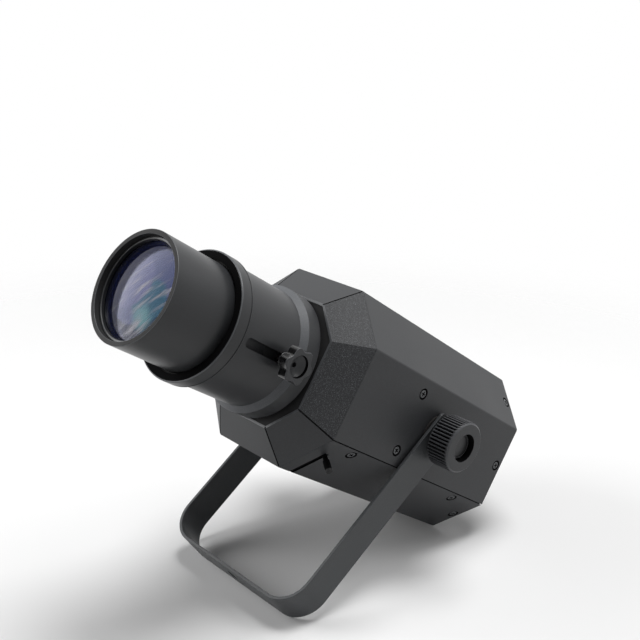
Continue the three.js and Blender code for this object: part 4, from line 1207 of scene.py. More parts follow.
@dataclass
class Screws:
    """Countersunk cross-head screws of the covers.

    Args:
        head: radius of a head.
        shank: radius of a shank.
        length: length under the face.
        rim: width of the ring round a head, which gets painted shade.
        trench: depth of that ring.
        side_along: place along the housing of the two screws in each side.
        side_up: how far those two lie above and below the axis.
        rear_along: place along the housing of the screws near the rear.
        lap_inset: how far the screws through tray and cover lie below their joint.
        lap_along: their places along the housing.
        recess_arm: reach of each arm of a head's cross.
        recess_width: width of an arm.
        recess_depth: depth of the cross.
        seed: start of the chance turns of the heads.
        places: place and direction of each screw.
    """

    head: float = 3.7
    shank: float = 2.0
    length: float = 8.0
    rim: float = 1.5
    trench: float = 1.1
    side_along: float = 85.3
    side_up: float = 28.2
    rear_along: float = 247.0
    lap_inset: float = 8.6
    lap_along: Pair = (36.8, 208.3)
    recess_arm: float = 2.3
    recess_width: float = 1.3
    recess_depth: float = 1.2
    seed: int = 7
    places: list[tuple[Vector, Vector]] = field(default_factory=list)

    def __post_init__(self) -> None:
        """Works out where each screw sits and which way it faces."""
        lap = self.lap_inset * math.sqrt(0.5)
        middle = (SHELL.half + SHELL.flat) / 2
        for side in (1.0, -1.0):
            outward = Vector((side, 0.0, 0.0))
            upward = Vector((side, 0.0, 1.0)).normalized()
            downward = Vector((side, 0.0, -1.0)).normalized()
            for along, up in (
                (self.side_along, self.side_up), (self.side_along, -self.side_up),
                (self.rear_along, 0.0),
            ):
                self.places.append((Vector((side * SHELL.half, along, up)), outward))
            self.places.append((Vector((side * middle, self.rear_along, middle)), upward))
            self.places.append((Vector((side * middle, self.rear_along, -middle)), downward))
            for along in self.lap_along:
                spot = Vector((side * (SHELL.half - lap), along, -SHELL.flat - lap))
                self.places.append((spot, downward))

    def countersinks(self) -> list[Form]:
        """One cutter for each screw.

        Returns:
            The cutters.
        """
        wide = self.head + self.rim
        profile = [
            (0.0, OVERRUN), (wide + 0.3, OVERRUN), (wide + 0.3, 0.0), (wide, -0.25),
            (wide - 0.1, -self.trench), (self.shank + 0.3, -SHELL.sheet), (self.shank + 0.3, -self.length),
            (0.0, -self.length)]
        cutters = []
        for spot, facing in self.places:
            turn = Vector((0.0, 1.0, 0.0)).rotation_difference(facing).to_matrix().to_4x4()
            cutters.append(Form.turned(profile, ROUND).moved(Matrix.Translation(spot) @ turn))
        return cutters

    def holds(self, centre: Vector, radius: float, low: float, high: float) -> bool:
        """Whether a point lies in a round space over or under some screw's face.

        Args:
            centre: the point.
            radius: radius of the space.
            low: its lowest height over the face.
            high: its highest.

        Returns:
            Whether the point does.
        """
        for spot, facing in self.places:
            offset = centre - spot
            height = offset.dot(facing)
            reach = (offset - facing * height).length
            if reach < radius and low < height < high:
                return True
        return False

    def in_countersink(self, centre: Vector, normal: Vector) -> bool:
        """Whether a face lies in a countersink, whose trench gets painted shade."""
        return self.holds(centre, self.head + self.rim + 0.4, -3.0, -0.1)

    def in_recess(self, centre: Vector, normal: Vector) -> bool:
        """Whether a face lies in the cross of a head, which gets painted shade."""
        return self.holds(centre, self.recess_arm + 0.3, -self.recess_depth - 0.4, -0.32)

    def screw(self) -> Form:
        """One screw with its face at the origin, facing +Y.

        Returns:
            The screw.
        """
        profile = [
            (0.0, -0.15), (self.head - 0.35, -0.15), (self.head, -0.4), (self.shank, -SHELL.sheet),
            (self.shank, -self.length + 0.6), (self.shank - 0.6, -self.length), (0.0, -self.length)]
        arm, wide = self.recess_arm, self.recess_width / 2
        head = Form.turned(profile, ROUND // 2)
        for x, z in ((wide, arm), (arm, wide)):
            head.cut(slab((-x, -self.recess_depth, -z), (x, OVERRUN, z)))
        return head

    def build(self) -> None:
        """All screws in one piece."""
        points = bpy.data.meshes.new("places")
        points.from_pydata([spot for spot, _ in self.places], [], [])
        facing = points.attributes.new("facing", "FLOAT_VECTOR", "POINT")
        facing.data.foreach_set("vector", [part for _, way in self.places for part in way])
        sample = new_object("sample", self.screw().mesh)
        screws = ScrewsOnPlaces().run(
            points, {"Screw": sample, "Seed": self.seed, "Finish": SCREW_STEEL.material()})
        bpy.data.objects.remove(sample)
        # The cross recesses get painted shade
        screws.painted(1, self.in_recess)
        nodes = sorted(node for node in frame["nodes"] if node.startswith("screw_"))
        dress(screws, "cover_screws", (SCREW_STEEL, NEAR_BLACK_AND_SHADE), nodes)


@dataclass
class HousingShell:
    """Cover, tray, nose and front plate of the housing."""

    screws: Screws
    seam: float = 1.2
    bend: float = 3.2
    cut_edge: float = 0.35
    lip_width: float = 17.0
    lip_along: Pair = (28.0, 236.0)
    nose_depth: float = 26.5
    nose_half: float = 59.0
    nose_chamfer: float = 27.0
    nose_rim: float = 10.0
    nose_gap: float = 0.3
    seams: tuple[int, ...] = (0, 2, 3, 5, 6, 7)
    plate_recess: float = 0.8
    plate_thickness: float = 2.0
    neck: float = 52.3
    groove: float = 1.3
    slit_along: float = 15.9
    slit_width: float = 5.0
    slit_turn: Pair = (-40.0, -82.0)
    slit_margin: float = 1.8
    vent_width: float = 50.0
    vent_length: float = 3.4
    vent_pitch: float = 8.0
    vent_count: int = 7
    vent_front: float = 44.0
    vent_round: float = 1.6

    def build(self) -> None:
        """Builds and dresses every piece."""
        cutters = self.screws.countersinks()
        reach = SHELL.half + OVERRUN
        cover = self.cover().cut(*cutters)
        cover.cut(drum(SHELL.pivot_hole, -reach, reach, Axis.X, (SHELL.pivot, 0.0)))
        tray = self.tray().cut(*cutters).cut(self.slit()).cut(self.vents())
        for sheet in (cover, tray):
            # The sheets' end edges get a painted highlight (1); countersink trenches, the seam's edges, the lip
            # behind the seam and the slit's walls get painted shade (2)
            sheet.eased(self.cut_edge, 2, 40.0).painted(1, self.on_end)
            sheet.painted(2, self.screws.in_countersink).painted(2, self.in_seam)
        tray.painted(2, self.in_slit)
        finishes = (COVER_COAT, WORN_AND_LIT_EDGE_COAT, NEAR_BLACK_AND_SHADE)
        dress(cover, "upper_cover_shell", finishes, ["upper_cover"])
        dress(tray, "lower_tray_shell", finishes, ["lower_tray"])
        self.build_nose()
        self.build_plate()

    def in_seam(self, centre: Vector, normal: Vector) -> bool:
        """Whether a face lies in the cover and tray's joint or on the lip behind it: painted shade.

        Args:
            centre: middle of the face.
            normal: its outward direction.

        Returns:
            Whether it does.
        """
        low = -SHELL.flat
        edge = abs(centre.z - low) < self.seam and abs(normal.z) > 0.9
        inward = (abs(centre.x) - centre.z) * math.sqrt(0.5)
        depth = (2 * SHELL.half - SHELL.chamfer) * math.sqrt(0.5) - inward
        sloping = (abs(normal.x) - normal.z) * math.sqrt(0.5) > 0.9
        return edge or sloping and abs(depth - SHELL.lining) < 0.3

    def in_slit(self, centre: Vector, normal: Vector) -> bool:
        """Whether a face is a wall of the iris lever's slit, which gets painted shade."""
        near = abs(centre.y - self.slit_along) < self.slit_width / 2 + 0.1
        return near and centre.x > 0 and abs(normal.x + normal.z) + abs(normal.y) > 0.9

    def on_end(self, centre: Vector, normal: Vector) -> bool:
        """Whether a face lies on the sheet's front or rear edge, which gets a painted highlight."""
        at_end = centre.y < 0.4 or centre.y > SHELL.length - 0.4
        return at_end and abs(normal.y) > 0.2

    def cover(self) -> Form:
        """Both sides, both upper chamfers and the top in one bent sheet, with its lips.

        Returns:
            The cover, without its holes.
        """
        outer = octagon(SHELL.half, SHELL.chamfer)
        inner = octagon(SHELL.half - SHELL.sheet, inset_leg(SHELL.chamfer, SHELL.sheet))
        low = -SHELL.flat + self.seam / 2
        points = [
            (SHELL.half, low), *outer[1:5], (-SHELL.half, low), (-SHELL.half + SHELL.sheet, low),
            *reversed(inner[1:5]), (SHELL.half - SHELL.sheet, low)]
        bends = {i: self.bend for i in (1, 2, 3, 4)}
        bends.update({i: self.bend - SHELL.sheet for i in (7, 8, 9, 10)})
        shell = Form.prism(filleted(points, bends), Axis.Y, 0.0, SHELL.length)
        return shell.merged(self.lip(1.0, low), self.lip(-1.0, low))

    def lip(self, side: float, low: float) -> Form:
        """Lip of the cover behind the tray's chamfer.

        Args:
            side: 1 on the right, -1 on the left.
            low: height of the cover's edge.

        Returns:
            The lip.
        """
        total = 2 * SHELL.half - SHELL.chamfer
        inside = SHELL.half - SHELL.sheet
        near = total - SHELL.lining * math.sqrt(2)
        far = total - (SHELL.lining + SHELL.sheet) * math.sqrt(2)
        end = near - inside + self.lip_width * math.sqrt(0.5)
        turn = SHELL.sheet * math.sqrt(0.5)
        points = [
            (side * (SHELL.half - 0.2), low + SHELL.sheet), (side * (SHELL.half - 0.2), low),
            (side * (near + low), low), (side * (near - end), -end),
            (side * (far - end + turn), -end + turn), (side * inside, inside - far),
            (side * inside, inside - far + SHELL.sheet)]
        return Form.prism(points, Axis.Y, *self.lip_along)

    def tray(self) -> Form:
        """Bottom and both lower chamfers in one bent sheet.

        Returns:
            The tray, without its openings.
        """
        outer = octagon(SHELL.half, SHELL.chamfer)
        inner = octagon(SHELL.half - SHELL.sheet, inset_leg(SHELL.chamfer, SHELL.sheet))
        edge = self.seam / 2 * math.sqrt(0.5)
        top = -SHELL.flat - edge
        inside = 2 * SHELL.half - SHELL.chamfer - SHELL.sheet * math.sqrt(2) + top
        points = [
            (-SHELL.half + edge, top), outer[6], outer[7], (SHELL.half - edge, top), (inside, top),
            inner[7], inner[6], (-inside, top)]
        bends = {1: self.bend, 2: self.bend, 5: self.bend - SHELL.sheet, 6: self.bend - SHELL.sheet}
        return Form.prism(filleted(points, bends), Axis.Y, 0.0, SHELL.length)

    def slit(self) -> Form:
        """Cutter for the slit that the iris lever swings in.

        Returns:
            The cutter.
        """
        start = math.radians(self.slit_turn[0] + self.slit_margin)
        end = math.radians(self.slit_turn[1] - self.slit_margin)
        steps = [start + (end - start) * i / 12 for i in range(13)]
        points = [(140 * math.cos(a), 140 * math.sin(a)) for a in steps]
        points += [(80 * math.cos(a), 80 * math.sin(a)) for a in reversed(steps)]
        middle, wide = self.slit_along, self.slit_width / 2
        return Form.prism(points, Axis.Y, middle - wide, middle + wide)

    def vents(self) -> Form:
        """Cutter for the air inlets under the tray.

        Returns:
            The cutter.
        """
        half = self.vent_width / 2
        outline = filleted(rectangle(
            (-half, self.vent_front), (half, self.vent_front + self.vent_length)), self.vent_round)
        ends = (-SHELL.half - OVERRUN, -SHELL.half + SHELL.sheet + OVERRUN)
        step = Vector((0.0, self.vent_pitch, 0.0))
        return row_of_slots(outline, Axis.Z, ends, self.vent_count, step)

    def build_nose(self) -> None:
        """Eight sloping facets and the rim that the covers are pushed over."""
        slope = SHELL.sheet * math.sqrt(2)
        inside = SHELL.lining + SHELL.sheet
        sections = [
            (SHELL.half, SHELL.chamfer, -self.nose_gap),
            (self.nose_half, self.nose_chamfer, -self.nose_depth),
            (self.nose_half - slope, inset_leg(self.nose_chamfer, slope), -self.nose_depth),
            (SHELL.half - inside, inset_leg(SHELL.chamfer, inside), -self.nose_gap),
            (SHELL.half - inside, inset_leg(SHELL.chamfer, inside), self.nose_rim),
            (SHELL.half - SHELL.lining, inset_leg(SHELL.chamfer, SHELL.lining), self.nose_rim),
            (SHELL.half - SHELL.lining, inset_leg(SHELL.chamfer, SHELL.lining), -self.nose_gap)]
        loops = [[Vector((x, along, z)) for x, z in octagon(half, leg)] for half, leg, along in sections]
        cone = Form.lofted(loops)
        for corner in self.seams:
            start, end = loops[1][corner], loops[0][corner]
            outward = Vector((start.x, -start.length * 0.6, start.z))
            cone.cut(bar(start, end, outward, self.groove, self.groove * 0.9))
        cone.painted(3, self.in_groove).eased(0.5, 2, 25.0)
        # The front rim gets a painted highlight (2)
        cone.painted(1, self.is_coarse).painted(2, self.on_nose_front)
        finishes = (COVER_COAT, NOSE_COAT, WORN_AND_LIT_EDGE_COAT, NEAR_BLACK_AND_SHADE)
        dress(cone, "nose_shell", finishes, ["nose_cone"])

    def in_groove(self, centre: Vector, normal: Vector) -> bool:
        """Whether a face of the nose lies in one of its grooves.

        Args:
            centre: middle of the face.
            normal: its outward direction.

        Returns:
            Whether it does.
        """
        if not -self.nose_depth < centre.y < -self.nose_gap:
            return False
        share = -centre.y / self.nose_depth
        half = SHELL.half + (self.nose_half - SHELL.half) * share
        leg = SHELL.chamfer + (self.nose_chamfer - SHELL.chamfer) * share
        reach = min(
            (Vector((centre.x, centre.z)) - Vector(octagon(half, leg)[i])).length for i in self.seams)
        return reach < self.groove * 1.2 and 0.02 < abs(normal.dot(Vector((0, 1, 0)))) < 0.95

    def is_coarse(self, centre: Vector, normal: Vector) -> bool:
        """Whether a face of the nose carries the coarse coat."""
        sloping = -0.9 < normal.y < -0.3 and centre.y < -self.nose_gap - 0.4
        return sloping and abs(normal.x) > 0.3 and normal.z > -0.2

    def on_nose_front(self, centre: Vector, normal: Vector) -> bool:
        """Whether a face of the nose lies on its front rim, which gets a painted highlight."""
        return centre.y < -self.nose_depth + 0.5 and normal.y < -0.8

    def build_plate(self) -> None:
        """Front plate in the nose, with the hole for the barrel."""
        inset = SHELL.lining * math.sqrt(2) - self.plate_recess
        outline = octagon(self.nose_half - inset, inset_leg(self.nose_chamfer, inset))
        face = -self.nose_depth + self.plate_recess
        plate = Form.prism(outline, Axis.Y, face, face + self.plate_thickness)
        plate.cut(drum(self.neck, face - 2, face + self.plate_thickness + 2, Axis.Y, (0, 0), FINE))
        dress(plate.eased(0.3), "front_plate_panel", (MATT_BLACK, WORN_AND_LIT_EDGE_COAT), ["front_plate"])


@dataclass
class Barrel:
    """Fixed sleeve with collar and slot, sliding tube with lens and ring, and the star knob."""

    tube: float = 48.0
    tube_wall: float = 2.6
    tube_front: float = 190.0
    tube_rear: float = 40.0
    hood_wall: float = 4.0
    hood_depth: float = 13.0
    lip_width: float = 2.6
    lip_depth: float = 4.0
    slide: float = 0.4
    travel: float = 42.0
    sleeve_wall: float = 5.4
    collar_front: float = 129.0
    collar_length: float = 12.6
    collar_height: float = 3.4
    mouth: float = 1.2
    mouth_depth: float = 4.0
    line_behind: float = 10.4
    line: float = 1.3
    line_depth: float = 0.45
    step_front: float = 52.5
    step_length: float = 5.8
    step_height: float = 4.8
    flange_rear: float = 31.2
    neck_wall: float = 3.6
    neck_rear: float = 15.0
    lens_edge: float = 3.5
    lens_bulge: float = 6.0
    lens_steps: int = 40
    ring_width: float = 2.2
    ring_depth: float = 3.4
    gap: float = 0.3
    slot_front: float = 110.0
    slot_width: float = 8.5
    stud_ahead: float = 64.0
    stud: float = 3.0
    hub: float = 7.0
    rise: float = 9.8
    thickness: float = 9.7
    lobe_radius: float = 14.4
    lobe_depth: float = 1.6
    lobes: int = 6
    lobe_steps: int = 216
    dish: float = 9.8
    dish_depth: float = 2.3
    cap_gap: float = 0.3
    bowl_depth: float = 4.0
    bowl_eye: float = 2.2
    eye_depth: float = 0.6

    def __post_init__(self) -> None:
        """Works out the sizes that follow from the others."""
        self.bore = self.tube + self.slide
        self.sleeve = self.bore + self.sleeve_wall
        self.hood = self.tube - self.hood_wall
        self.lens = self.hood - self.gap
        self.lens_back = -self.tube_front + self.hood_depth - self.gap
        self.lens_front = self.lens_back - self.lens_edge
        self.bow = (self.lens ** 2 + self.lens_bulge ** 2) / (2 * self.lens_bulge)
        self.underside = self.sleeve + self.rise
        self.face = self.underside + self.thickness

    def build(self) -> None:
        """Builds and dresses every piece."""
        self.build_sleeve()
        self.build_tube()
        self.build_lens()
        self.build_ring()
        self.build_star()
        self.build_stud()

    def build_sleeve(self) -> None:
        """Sleeve with a grooved and rounded collar, a step, a flange and the slot."""
        collar = self.sleeve + self.collar_height
        flange = self.sleeve + self.step_height
        neck = self.bore + self.neck_wall
        mouth = self.bore + self.mouth
        front = -self.collar_front
        line = front + self.line_behind
        low = collar - self.line_depth
        points = [
            (mouth, front), (collar, front), (collar, line), (low, line), (low, line + self.line),
            (collar, line + self.line), (collar, front + self.collar_length),
            (self.sleeve, front + self.collar_length), (self.sleeve, -self.step_front),
            (flange, -self.step_front + self.step_length), (flange, -self.flange_rear),
            (neck, -self.flange_rear), (neck, -self.neck_rear), (self.bore, -self.neck_rear),
            (self.bore, front + self.mouth_depth), (mouth, front + self.mouth_depth)]
        rounds = {0: 0.5, 1: 1.2, 2: 0.2, 5: 0.2, 6: 0.7, 8: 0.4, 9: 0.4, 10: 0.6}
        sleeve = Form.turned(filleted(points, rounds, 4))
        half = self.slot_width / 2
        outline = filleted(
            rectangle((-self.slot_front, -half), (-self.stud_ahead + half, half)), half * 0.999, 12)
        sleeve.cut(Form.prism(outline, Axis.X, self.tube - 2, flange + 2))
        # The collar's front edge gets a painted highlight (1), the mouth and the slot's walls painted shade (2),
        # and the collar's front face near black (3)
        sleeve.painted(1, lambda spot, normal: spot.y < front + 0.9 and spot.xz.length > collar - 1.3)
        sleeve.painted(
            2, lambda spot, normal: spot.xz.length < mouth + 0.2 or spot.x > 0 and abs(spot.z) <= half
            and abs(normal.x) < 0.5 and line + 4 < spot.y < -self.stud_ahead + half + 0.1)
        sleeve.painted(3, lambda spot, normal: spot.y < front + 0.1 and spot.xz.length < collar - 1.1)
        # The cone of the step gets the paler coat: painted light
        sleeve.painted(
            4, lambda spot, normal: 0.3 < spot.y + self.step_front < self.step_length - 0.3
            and spot.xz.length > self.sleeve + 0.1 and abs(normal.y) > 0.3)
        finishes = (BARREL_COAT, WORN_AND_LIT_EDGE_COAT, MATT_BLACK, NEAR_BLACK_AND_SHADE, PAINTED_LIT_CONE_COAT)
        dress(sleeve, "lens_sleeve_body", finishes, ["lens_sleeve"])

    def build_tube(self) -> None:
        """Sliding tube, matt black inside, with a thicker hood and a lip behind the lens."""
        front, seat = -self.tube_front, -self.tube_front + self.hood_depth
        inside = self.tube - self.tube_wall
        lip = self.hood - self.lip_width
        hidden = -self.collar_front + self.mouth_depth + self.travel
        points = [
            (self.hood, front), (self.tube, front), (self.tube, hidden), (self.tube, -self.tube_rear),
            (inside, -self.tube_rear), (inside, seat + self.lip_depth), (lip, seat + self.lip_depth),
            (lip, seat), (self.hood, seat)]
        tube = Form.turned(filleted(points, {0: 0.5, 1: 0.6, 3: 0.4}, 4))
        tube.cut(drum(self.stud + self.gap, inside - 2, self.tube + 2, Axis.X, (-self.stud_ahead, 0.0)))
        # The hood's inside is matt black paint; the part that the sleeve covers and the flat front rim get it as
        # painted shade (2), and the rim's round edge a painted highlight (1)
        tube.painted(
            2, lambda spot, normal: spot.xz.length < self.hood + 0.1 or spot.y > hidden or normal.y < -0.97)
        tube.painted(1, lambda spot, normal: spot.y < front + 0.3 and -0.97 < normal.y < -0.2)
        dress(tube, "lens_tube_body", (BARREL_COAT, WORN_AND_LIT_EDGE_COAT, MATT_BLACK), ["lens_tube"])

    def build_lens(self) -> None:
        """Plano-convex lens, its curved face ahead, its edge blackened and its rear bloomed."""
        edge_angle = math.asin(self.lens / self.bow)
        points: list[Pair] = []
        for i in range(self.lens_steps + 1):
            angle = edge_angle * i / self.lens_steps
            drop = self.bow * (1 - math.cos(angle))
            points.append((self.bow * math.sin(angle), self.lens_front - self.lens_bulge + drop))
        points += [(self.lens, self.lens_back), (0.0, self.lens_back)]
        lens = Form.turned(points)
        lens.painted(1, lambda spot, normal: abs(normal.y) < 0.1 and spot.xz.length > self.lens - 1)
        lens.painted(2, lambda spot, normal: normal.y > 0.9)
        dress(lens, "front_lens_glass", (LENS_GLASS, MATT_BLACK, BLOOMED_GLASS), ["front_lens"])

    def build_ring(self) -> None:
        """Ring that holds the lens."""
        inner = self.lens - self.ring_width
        drop = self.bow - math.sqrt(self.bow ** 2 - inner ** 2)
        rear = self.lens_front - self.lens_bulge + drop - self.gap
        points = [
            (inner, rear - self.ring_depth), (self.lens, rear - self.ring_depth), (self.lens, rear),
            (inner, rear)]
        ring = Form.turned(filleted(points, {0: 0.6, 1: 0.3}, 3))
        dress(ring, "lens_retaining_ring", (BLACK_STEEL,), ["lens_ring"])

    def build_star(self) -> None:
        """Six-lobed knob with rounded edges, a glossy hub and a bowl sunk in its face."""
        points = []
        for i in range(self.lobe_steps):
            angle = math.tau * i / self.lobe_steps
            radius = self.lobe_radius + self.lobe_depth * math.cos(self.lobes * angle)
            points.append((radius * math.cos(angle), radius * math.sin(angle)))
        star = Form.prism(points, Axis.X, self.underside, self.face)
        star.modified(
            "BEVEL", width=0.9, segments=3, limit_method="ANGLE", angle_limit=math.radians(50),
            use_clamp_overlap=True)
        shelf = self.face - self.dish_depth
        floor = shelf - self.bowl_depth - self.eye_depth - 0.3
        star.cut(drum(self.dish, floor, self.face + 2, Axis.X, (0.0, 0.0), ROUND))
        # Painted light: gloss-black sides (3) and a satin grey face that stands for the lit face of the same black
        # plastic; the bevels get a painted highlight (2) and the dish's wall painted shade (1)
        star.painted(3, lambda spot, normal: abs(normal.x) < 0.1)
        star.painted(2, lambda spot, normal: 0.1 < abs(normal.x) < 0.95)
        hole, top = self.dish + 0.1, self.face - 0.1
        star.painted(1, lambda spot, normal: floor - 0.1 < spot.x < top and spot.yz.length < hole)
        low = self.sleeve + self.gap
        hub = filleted([
            (0.0, low), (self.hub, low), (self.hub, low + 1.5), (self.hub - 1.0, low + 1.8),
            (self.hub - 1.0, self.underside + 0.4), (0.0, self.underside + 0.4)], {1: 0.4, 2: 0.4}, 3)
        eye = shelf - self.bowl_depth - self.eye_depth + 0.1
        # The bowl's eye gets painted shade
        bowl = Form.turned(self.bowl(floor, shelf), ROUND).painted(
            1, lambda spot, normal: floor < spot.y < eye and spot.xz.length < self.bowl_eye)
        shiny = Form.turned(hub, ROUND).painted(3, lambda spot, normal: True)
        star.joined([bowl.moved(TO_RIGHT), shiny.moved(TO_RIGHT)])
        star.moved(Matrix.Translation((0.0, -self.stud_ahead, 0.0)))
        finishes = (KNOB_PLASTIC, NEAR_BLACK_AND_SHADE, HIGHLIGHT_PLASTIC, GLOSS_PLASTIC)
        dress(star, "focus_star_knob", finishes, ["star_knob"])

    def bowl(self, floor: float, shelf: float) -> list[Pair]:
        """Profile of the bowl in the star knob.

        Args:
            floor: where the hole for it ends.
            shelf: where its rim lies.

        Returns:
            Radius and place along the axis of each point.
        """
        rim = self.dish - self.cap_gap
        mouth = rim - 0.5
        steps = 12
        curve = []
        for i in range(steps + 1):
            radius = mouth + (self.bowl_eye - mouth) * i / steps
            curve.append((radius, shelf - self.bowl_depth * (1 - (radius / mouth) ** 2)))
        end = shelf - self.bowl_depth - self.eye_depth
        return [
            (0.0, floor - 0.3), (rim, floor - 0.3), (rim, shelf - 0.3), (rim - 0.3, shelf), *curve,
            (self.bowl_eye - 0.1, end), (0.0, end)]

    def build_stud(self) -> None:
        """Stud between the tube and the star knob."""
        start, end = self.tube - self.tube_wall, self.underside + 2
        points = [
            (0.0, start), (self.stud - 0.4, start), (self.stud, start + 0.4), (self.stud, end), (0.0, end)]
        stud = Form.turned(points, ROUND)
        stud.moved(Matrix.Translation((0.0, -self.stud_ahead, 0.0)) @ TO_RIGHT)
        dress(stud, "focus_stud_pin", (RING_STEEL,), ["focus_stud"])


@dataclass
class Clamps:
    """Two knurled clamp knobs and their pivot bolts, drawn on the right and turned to the left."""

    back: float = 90.3
    hub_length: float = 6.0
    grip_length: float = 20.6
    rim_length: float = 3.1
    radius: float = 24.7
    rim: float = 24.0
    hub: float = 16.0
    core: float = 22.9
    bevel: float = 1.3
    ridges: int = 46
    ridge_base: float = 1.9
    ridge_tip: float = 1.2
    recess: float = 13.3
    recess_depth: float = 12.0
    bore: float = 4.3
    bolt: float = 4.0
    bolt_end: float = 69.2
    head: float = 12.0
    head_length: float = 6.5
    bead: float = 10.6
    disc: float = 9.9
    disc_drop: float = 0.4
    groove_drop: float = 1.0
    gap: float = 0.3

    def build(self) -> None:
        """Builds and dresses both knobs and both bolts."""
        there = Matrix.Translation((0.0, SHELL.pivot, 0.0))
        for side, turn in (("right", 0.0), ("left", math.pi)):
            place = there @ Matrix.Rotation(turn, 4, "Z") @ TO_RIGHT
            dress(
                self.knob().moved(place), f"clamp_knob_{side}_grip",
                (KNOB_PLASTIC, HIGHLIGHT_PLASTIC, NEAR_BLACK_AND_SHADE), [f"clamp_knob_{side}"])
            dress(
                self.build_bolt().moved(place), f"pivot_bolt_{side}_low_head", (BLACK_STEEL,),
                [f"pivot_bolt_{side}"])

    def knob(self) -> Form:
        """Knob along Y: hub, core, ridges up to a bevelled face, and recessed centre.

        Returns:
            The right knob.
        """
        grip = self.back + self.hub_length
        rim = grip + self.grip_length
        face = rim + self.rim_length
        floor = face - self.recess_depth
        points = [
            (self.bore, self.back), (self.hub, self.back), (self.hub, grip), (self.core, grip),
            (self.core, rim), (self.rim, rim), (self.rim, face - self.bevel), (self.rim - self.bevel, face),
            (self.recess, face), (self.recess, floor), (self.bore, floor)]
        rounds = {1: 0.6, 3: 0.8, 5: 0.3, 6: 0.5, 7: 0.5, 8: 0.5, 9: 0.8}
        body = Form.turned(filleted(points, rounds, 3), 4 * self.ridges)
        base, tip = self.ridge_base / 2, self.ridge_tip / 2
        section = filleted([
            (self.core - 0.8, -base), (self.core - 0.8, base), (self.radius - 0.05, tip),
            (self.radius - 0.05, -tip)], {2: 0.45, 3: 0.45}, 2)
        ridge = Form.prism(section, Axis.Y, grip + 0.6, face - self.bevel)
        # The ridges and the face's bevel get a painted highlight (1); the core between the ridges and the recess
        # get painted shade (2)
        ring = RingOfCopies().run(ridge.mesh, {
            "Count": self.ridges, "Finish": HIGHLIGHT_PLASTIC.material()}).painted(1, lambda spot, normal: True)
        edge = face - self.bevel - 0.3
        body.painted(1, lambda spot, normal: spot.y > edge and normal.xz.length > 0.3
                     and spot.xz.length > self.recess + 2)
        body.painted(2, lambda spot, normal: grip < spot.y < rim or spot.xz.length < self.recess + 0.2)
        return body.joined([ring])

    def build_bolt(self) -> Form:
        """Bolt along Y with a low wide head: a bead round a disc.

        Returns:
            The right bolt.
        """
        seat = self.back + self.hub_length + self.grip_length + self.rim_length
        seat += self.gap - self.recess_depth
        top = seat + self.head_length
        points = [
            (0.0, self.bolt_end), (self.bolt - 0.6, self.bolt_end), (self.bolt, self.bolt_end + 0.6),
            (self.bolt, seat), (self.head, seat), (self.head, top), (self.bead, top),
            (self.bead, top - self.groove_drop), (self.disc, top - self.groove_drop),
            (self.disc, top - self.disc_drop), (0.0, top - self.disc_drop)]
        return Form.turned(filleted(points, {5: 0.5, 6: 0.3, 9: 0.5}, 3), FINE)


@dataclass
class IrisLever:
    """Ring of the iris with the lever that turns it."""

    middle: float = 15.9
    inner: float = 25.0
    outer: float = 41.7
    thickness: float = 2.4
    stem: float = 1.4
    sheath: float = 2.2
    sheath_start: float = 84.0
    grip: float = 3.1
    grip_start: float = 95.8
    tip: float = 108.0
    turn: float = -40.0

    def build(self) -> None:
        """Builds and dresses the ring and its lever as one piece."""
        half = self.thickness / 2
        ring = Form.turned(filleted(
            [(self.inner, -half), (self.outer, -half), (self.outer, half), (self.inner, half)], 0.3, 2))
        points = [
            (0.0, self.outer - 2), (self.stem, self.outer - 2), (self.stem, self.sheath_start),
            (self.sheath, self.sheath_start), (self.sheath, self.grip_start), (self.grip, self.grip_start),
            (self.grip, self.tip - 3.0), (self.grip, self.tip), (0.0, self.tip)]
        lever = Form.turned(filleted(points, {3: 0.3, 5: 0.4, 7: 1.8}, 4), 48).moved(TO_RIGHT)
        lever.painted(1, lambda spot, normal: spot.x > self.sheath_start - 0.1)
        lever.painted(2, lambda spot, normal: spot.x > self.tip - 3.0)
        lever.moved(Matrix.Rotation(math.radians(-self.turn), 4, "Y"))
        ring.joined([lever]).moved(Matrix.Translation((0.0, self.middle, 0.0)))
        dress(ring, "iris_ring_and_lever", (BLACK_STEEL, NEAR_BLACK_AND_SHADE, MATT_BLACK), ["iris_ring"])


